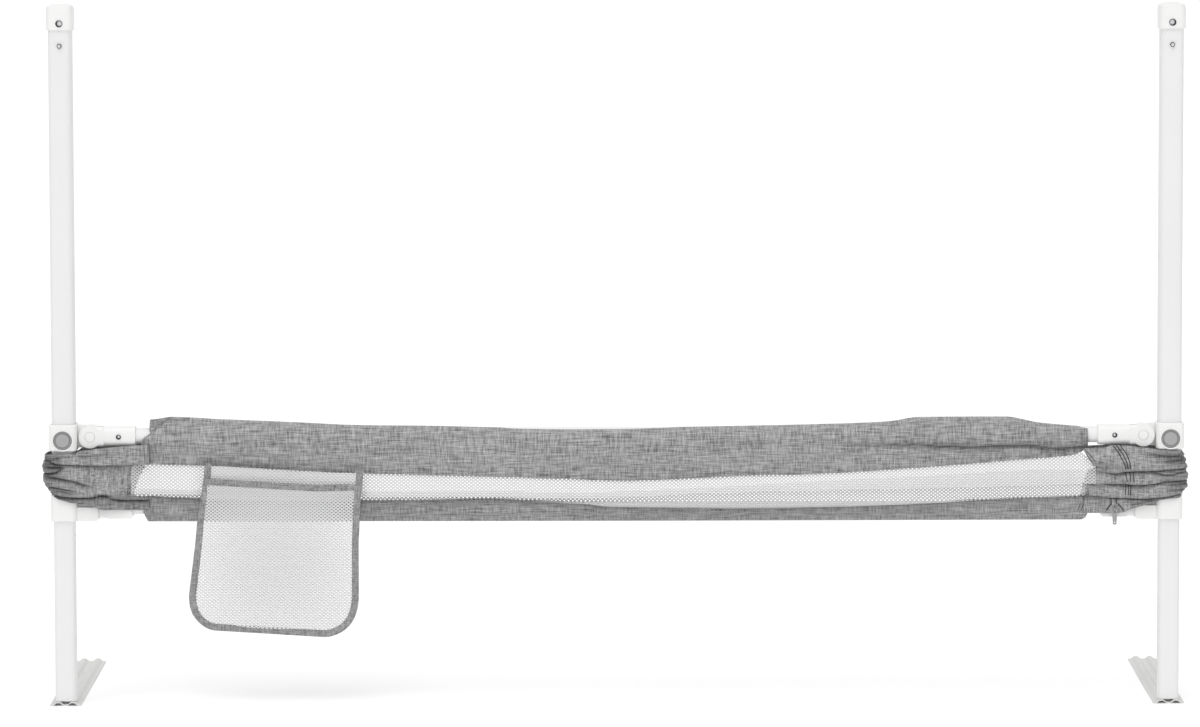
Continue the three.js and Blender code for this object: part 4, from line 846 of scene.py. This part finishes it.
# Pocket: a pouch of the same net, sewn to the sleeve's hem, with a folded binding of finer cloth
# round its edge and along its mouth. Its front hangs a little open.
POCKET_LEFT = [
    (462, 205), (466, 204.6), (478, 203.4), (490, 201.8), (500, 200.3), (510, 198.6), (522.3, 197),
    (545, 195), (590.6, 189.4), (598.7, 188.7), (607, 189.6), (614.7, 192), (620.5, 196), (625.4, 200.8),
    (629.4, 207), (631.5, 213)]
POCKET_RIGHT = [
    (470, 364), (474, 363.5), (503.6, 360.8), (543.7, 358.8), (597.3, 359), (604.5, 358.6), (610.7, 357.5),
    (618.5, 355), (625.4, 350.8), (631.5, 344.6), (635.5, 337.4), (637.8, 330), (638.2, 324)]
MOUTH = [(196, 482), (212, 482.4), (264, 485.6), (317, 488.6), (362, 487.6)]
POUCH_LEFT, POUCH_RIGHT, POUCH_MOUTH, POUCH_FOOT = 196, 358, 484, 637
POCKET_BACK = AXIS - 12.6 * MM


def belly(px, py):
    """How far the pouch's front stands before its back, in metres."""
    side_on = np.clip((px - POUCH_LEFT) / (POUCH_RIGHT - POUCH_LEFT), 0, 1)
    down = np.clip((POUCH_FOOT - py) / 70, 0, 1) ** 0.6
    fuller = 0.7 + 0.3 * np.clip((py - POUCH_MOUTH) / 60, 0, 1)
    return (2.4 + 8.5 * np.sin(np.pi * side_on) ** 0.7 * down * fuller) * MM


pouch_net = net("white_pouch_net", "e6e6e6", 0.12)
t = np.linspace(0, 1, 60)[:, None] ** 0.9
u = np.linspace(0, 1, 50)[None, :]
foot_line = 631.5 + 6.7 * u + 3 * np.sin(np.pi * u)


def pocket_layer(name, high, offset):
    """A net layer from the line high down to the pouch's foot."""
    py = high + (foot_line - 3 - high) * t
    left = np.interp(py, *np.transpose(POCKET_LEFT)) + 5
    right = np.interp(py, *np.transpose(POCKET_RIGHT)) - 3
    px = left + (right - left) * u
    return skin(name, seen(px, py, offset(px, py)), pouch_net)


hem_line = 465.5 + (474 - 465.5) * u
front_net = pocket_layer(
    "pocket_front_net", curve(MOUTH, 200 + 162 * u), lambda px, py: POCKET_BACK - belly(px, py))
back_net = pocket_layer(
    "pocket_back_net", hem_line,
    lambda px, py: POCKET_BACK - 0.5 * MM - 2 * MM * (1 - smooth_step(466, 486, py)))


def bound(name, line, wide, thick, y_of):
    """A folded strip of binding along a line of pixels, its inner edge wide pixels to the right."""
    line = np.asarray(line, float)
    spans = lengths(line)
    even = np.arange(0, spans[-1], 1.2)
    line = np.stack([np.interp(even, spans, line[:, 0]), np.interp(even, spans, line[:, 1])], 1)
    for _ in range(3):
        line[1:-1] = (line[:-2] + 2 * line[1:-1] + line[2:]) / 4
    way = np.gradient(line, axis=0)
    way /= np.linalg.norm(way, axis=1)[:, None]
    inward = np.stack([-way[:, 1], way[:, 0]], 1)
    section = [
        (0.02, -0.3), (0.1, -0.5), (0.5, -0.56), (0.92, -0.5), (1, -0.3), (1, 0.3), (0.92, 0.5), (0.5, 0.5),
        (0.1, 0.5), (0.02, 0.3)]
    rings = []
    for across, out in section:
        at = line + inward * wide * across
        rings.append(seen(at[:, 0], at[:, 1], y_of(at[:, 0], at[:, 1]) + out * thick))
    return skin(name, np.stack(rings, 1), binding_cloth, closed=True)


binding_cloth = melange("grey_binding_cloth", "919191", 1.6)
edge = [(x, y) for y, x in POCKET_LEFT] + [(270, 634.9)] + [(x, y) for y, x in reversed(POCKET_RIGHT)]
edge_binding = bound("pocket_edge_binding", edge[::-1], 7.2, 2.6 * MM,
                     lambda px, py: POCKET_BACK - 1.2 * MM - 2 * MM * smooth_step(478, 492, py))
mouth_binding = bound("pocket_mouth_binding", [(max(x, 205), y - 3.6) for x, y in MOUTH], 6.8, 1.8 * MM,
                      lambda px, py: POCKET_BACK - belly(px, np.maximum(py, POUCH_MOUTH)) - 0.2 * MM)
for made, slot in ((front_net, "white_net"), (back_net, "white_net"), (edge_binding, "grey_cloth"),
                   (mouth_binding, "grey_cloth")):
    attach(made, "rail")
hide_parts("mesh_pocket")


# Floor and light: a white floor that the camera sees at full white, under a bright room that is
# darker to the left and right, with one broad soft lamp high at the left.
material, tree, shader = new_material("white_floor", 0.8)
place = add_node(tree, "TexCoord").outputs["Object"]
drift = add_node(tree, "TexNoise", {"Vector": place, "Scale": 0.8, "Detail": 2.0})
tones = add_node(tree, "ValToRGB", {"Fac": drift.outputs[0]},
                 stops=((0, linear("ffffff", 0.997)), (1, linear("ffffff"))))
seen_by = add_node(tree, "LightPath")
lift = add_node(tree, "Math", {0: seen_by.outputs["Is Camera Ray"], 1: 0.08}, operation="MULTIPLY")
tree.links.new(tones.outputs["Color"], shader.inputs["Base Color"])
tree.links.new(lift.outputs[0], shader.inputs["Emission Strength"])
shader.inputs["Emission Color"].default_value = (1, 1, 1, 1)
FLOOR_REACH, FLOOR_BACK = 60, 90
floor = skin("floor", [[(-FLOOR_REACH, y, 0), (FLOOR_REACH, y, 0)] for y in (-FLOOR_REACH, FLOOR_BACK)],
             material)

world = bpy.data.worlds.new("studio")
world.use_nodes = True
sky = world.node_tree
place = add_node(sky, "TexCoord").outputs["Generated"]
way = add_node(sky, "SeparateXYZ", {0: place})
sideways = add_node(sky, "Math", {0: way.outputs["X"]}, operation="ABSOLUTE")
glow = add_node(sky, "MapRange", {
    "Value": sideways.outputs[0], "From Min": 0.55, "From Max": 0.95, "To Min": 0.95, "To Max": 0.32})
sky.nodes["Background"].inputs["Color"].default_value = (1, 1, 1, 1)
sky.links.new(glow.outputs[0], sky.nodes["Background"].inputs["Strength"])
scene.world = world

lamp_data = bpy.data.lights.new("key", "SUN")
lamp_data.energy = 0.62
lamp_data.angle = math.radians(40)
lamp = bpy.data.objects.new("key", lamp_data)
lamp.rotation_euler = (math.radians(32), 0, math.radians(-20))
scene.collection.objects.link(lamp)
scene.view_settings.view_transform = "Standard"
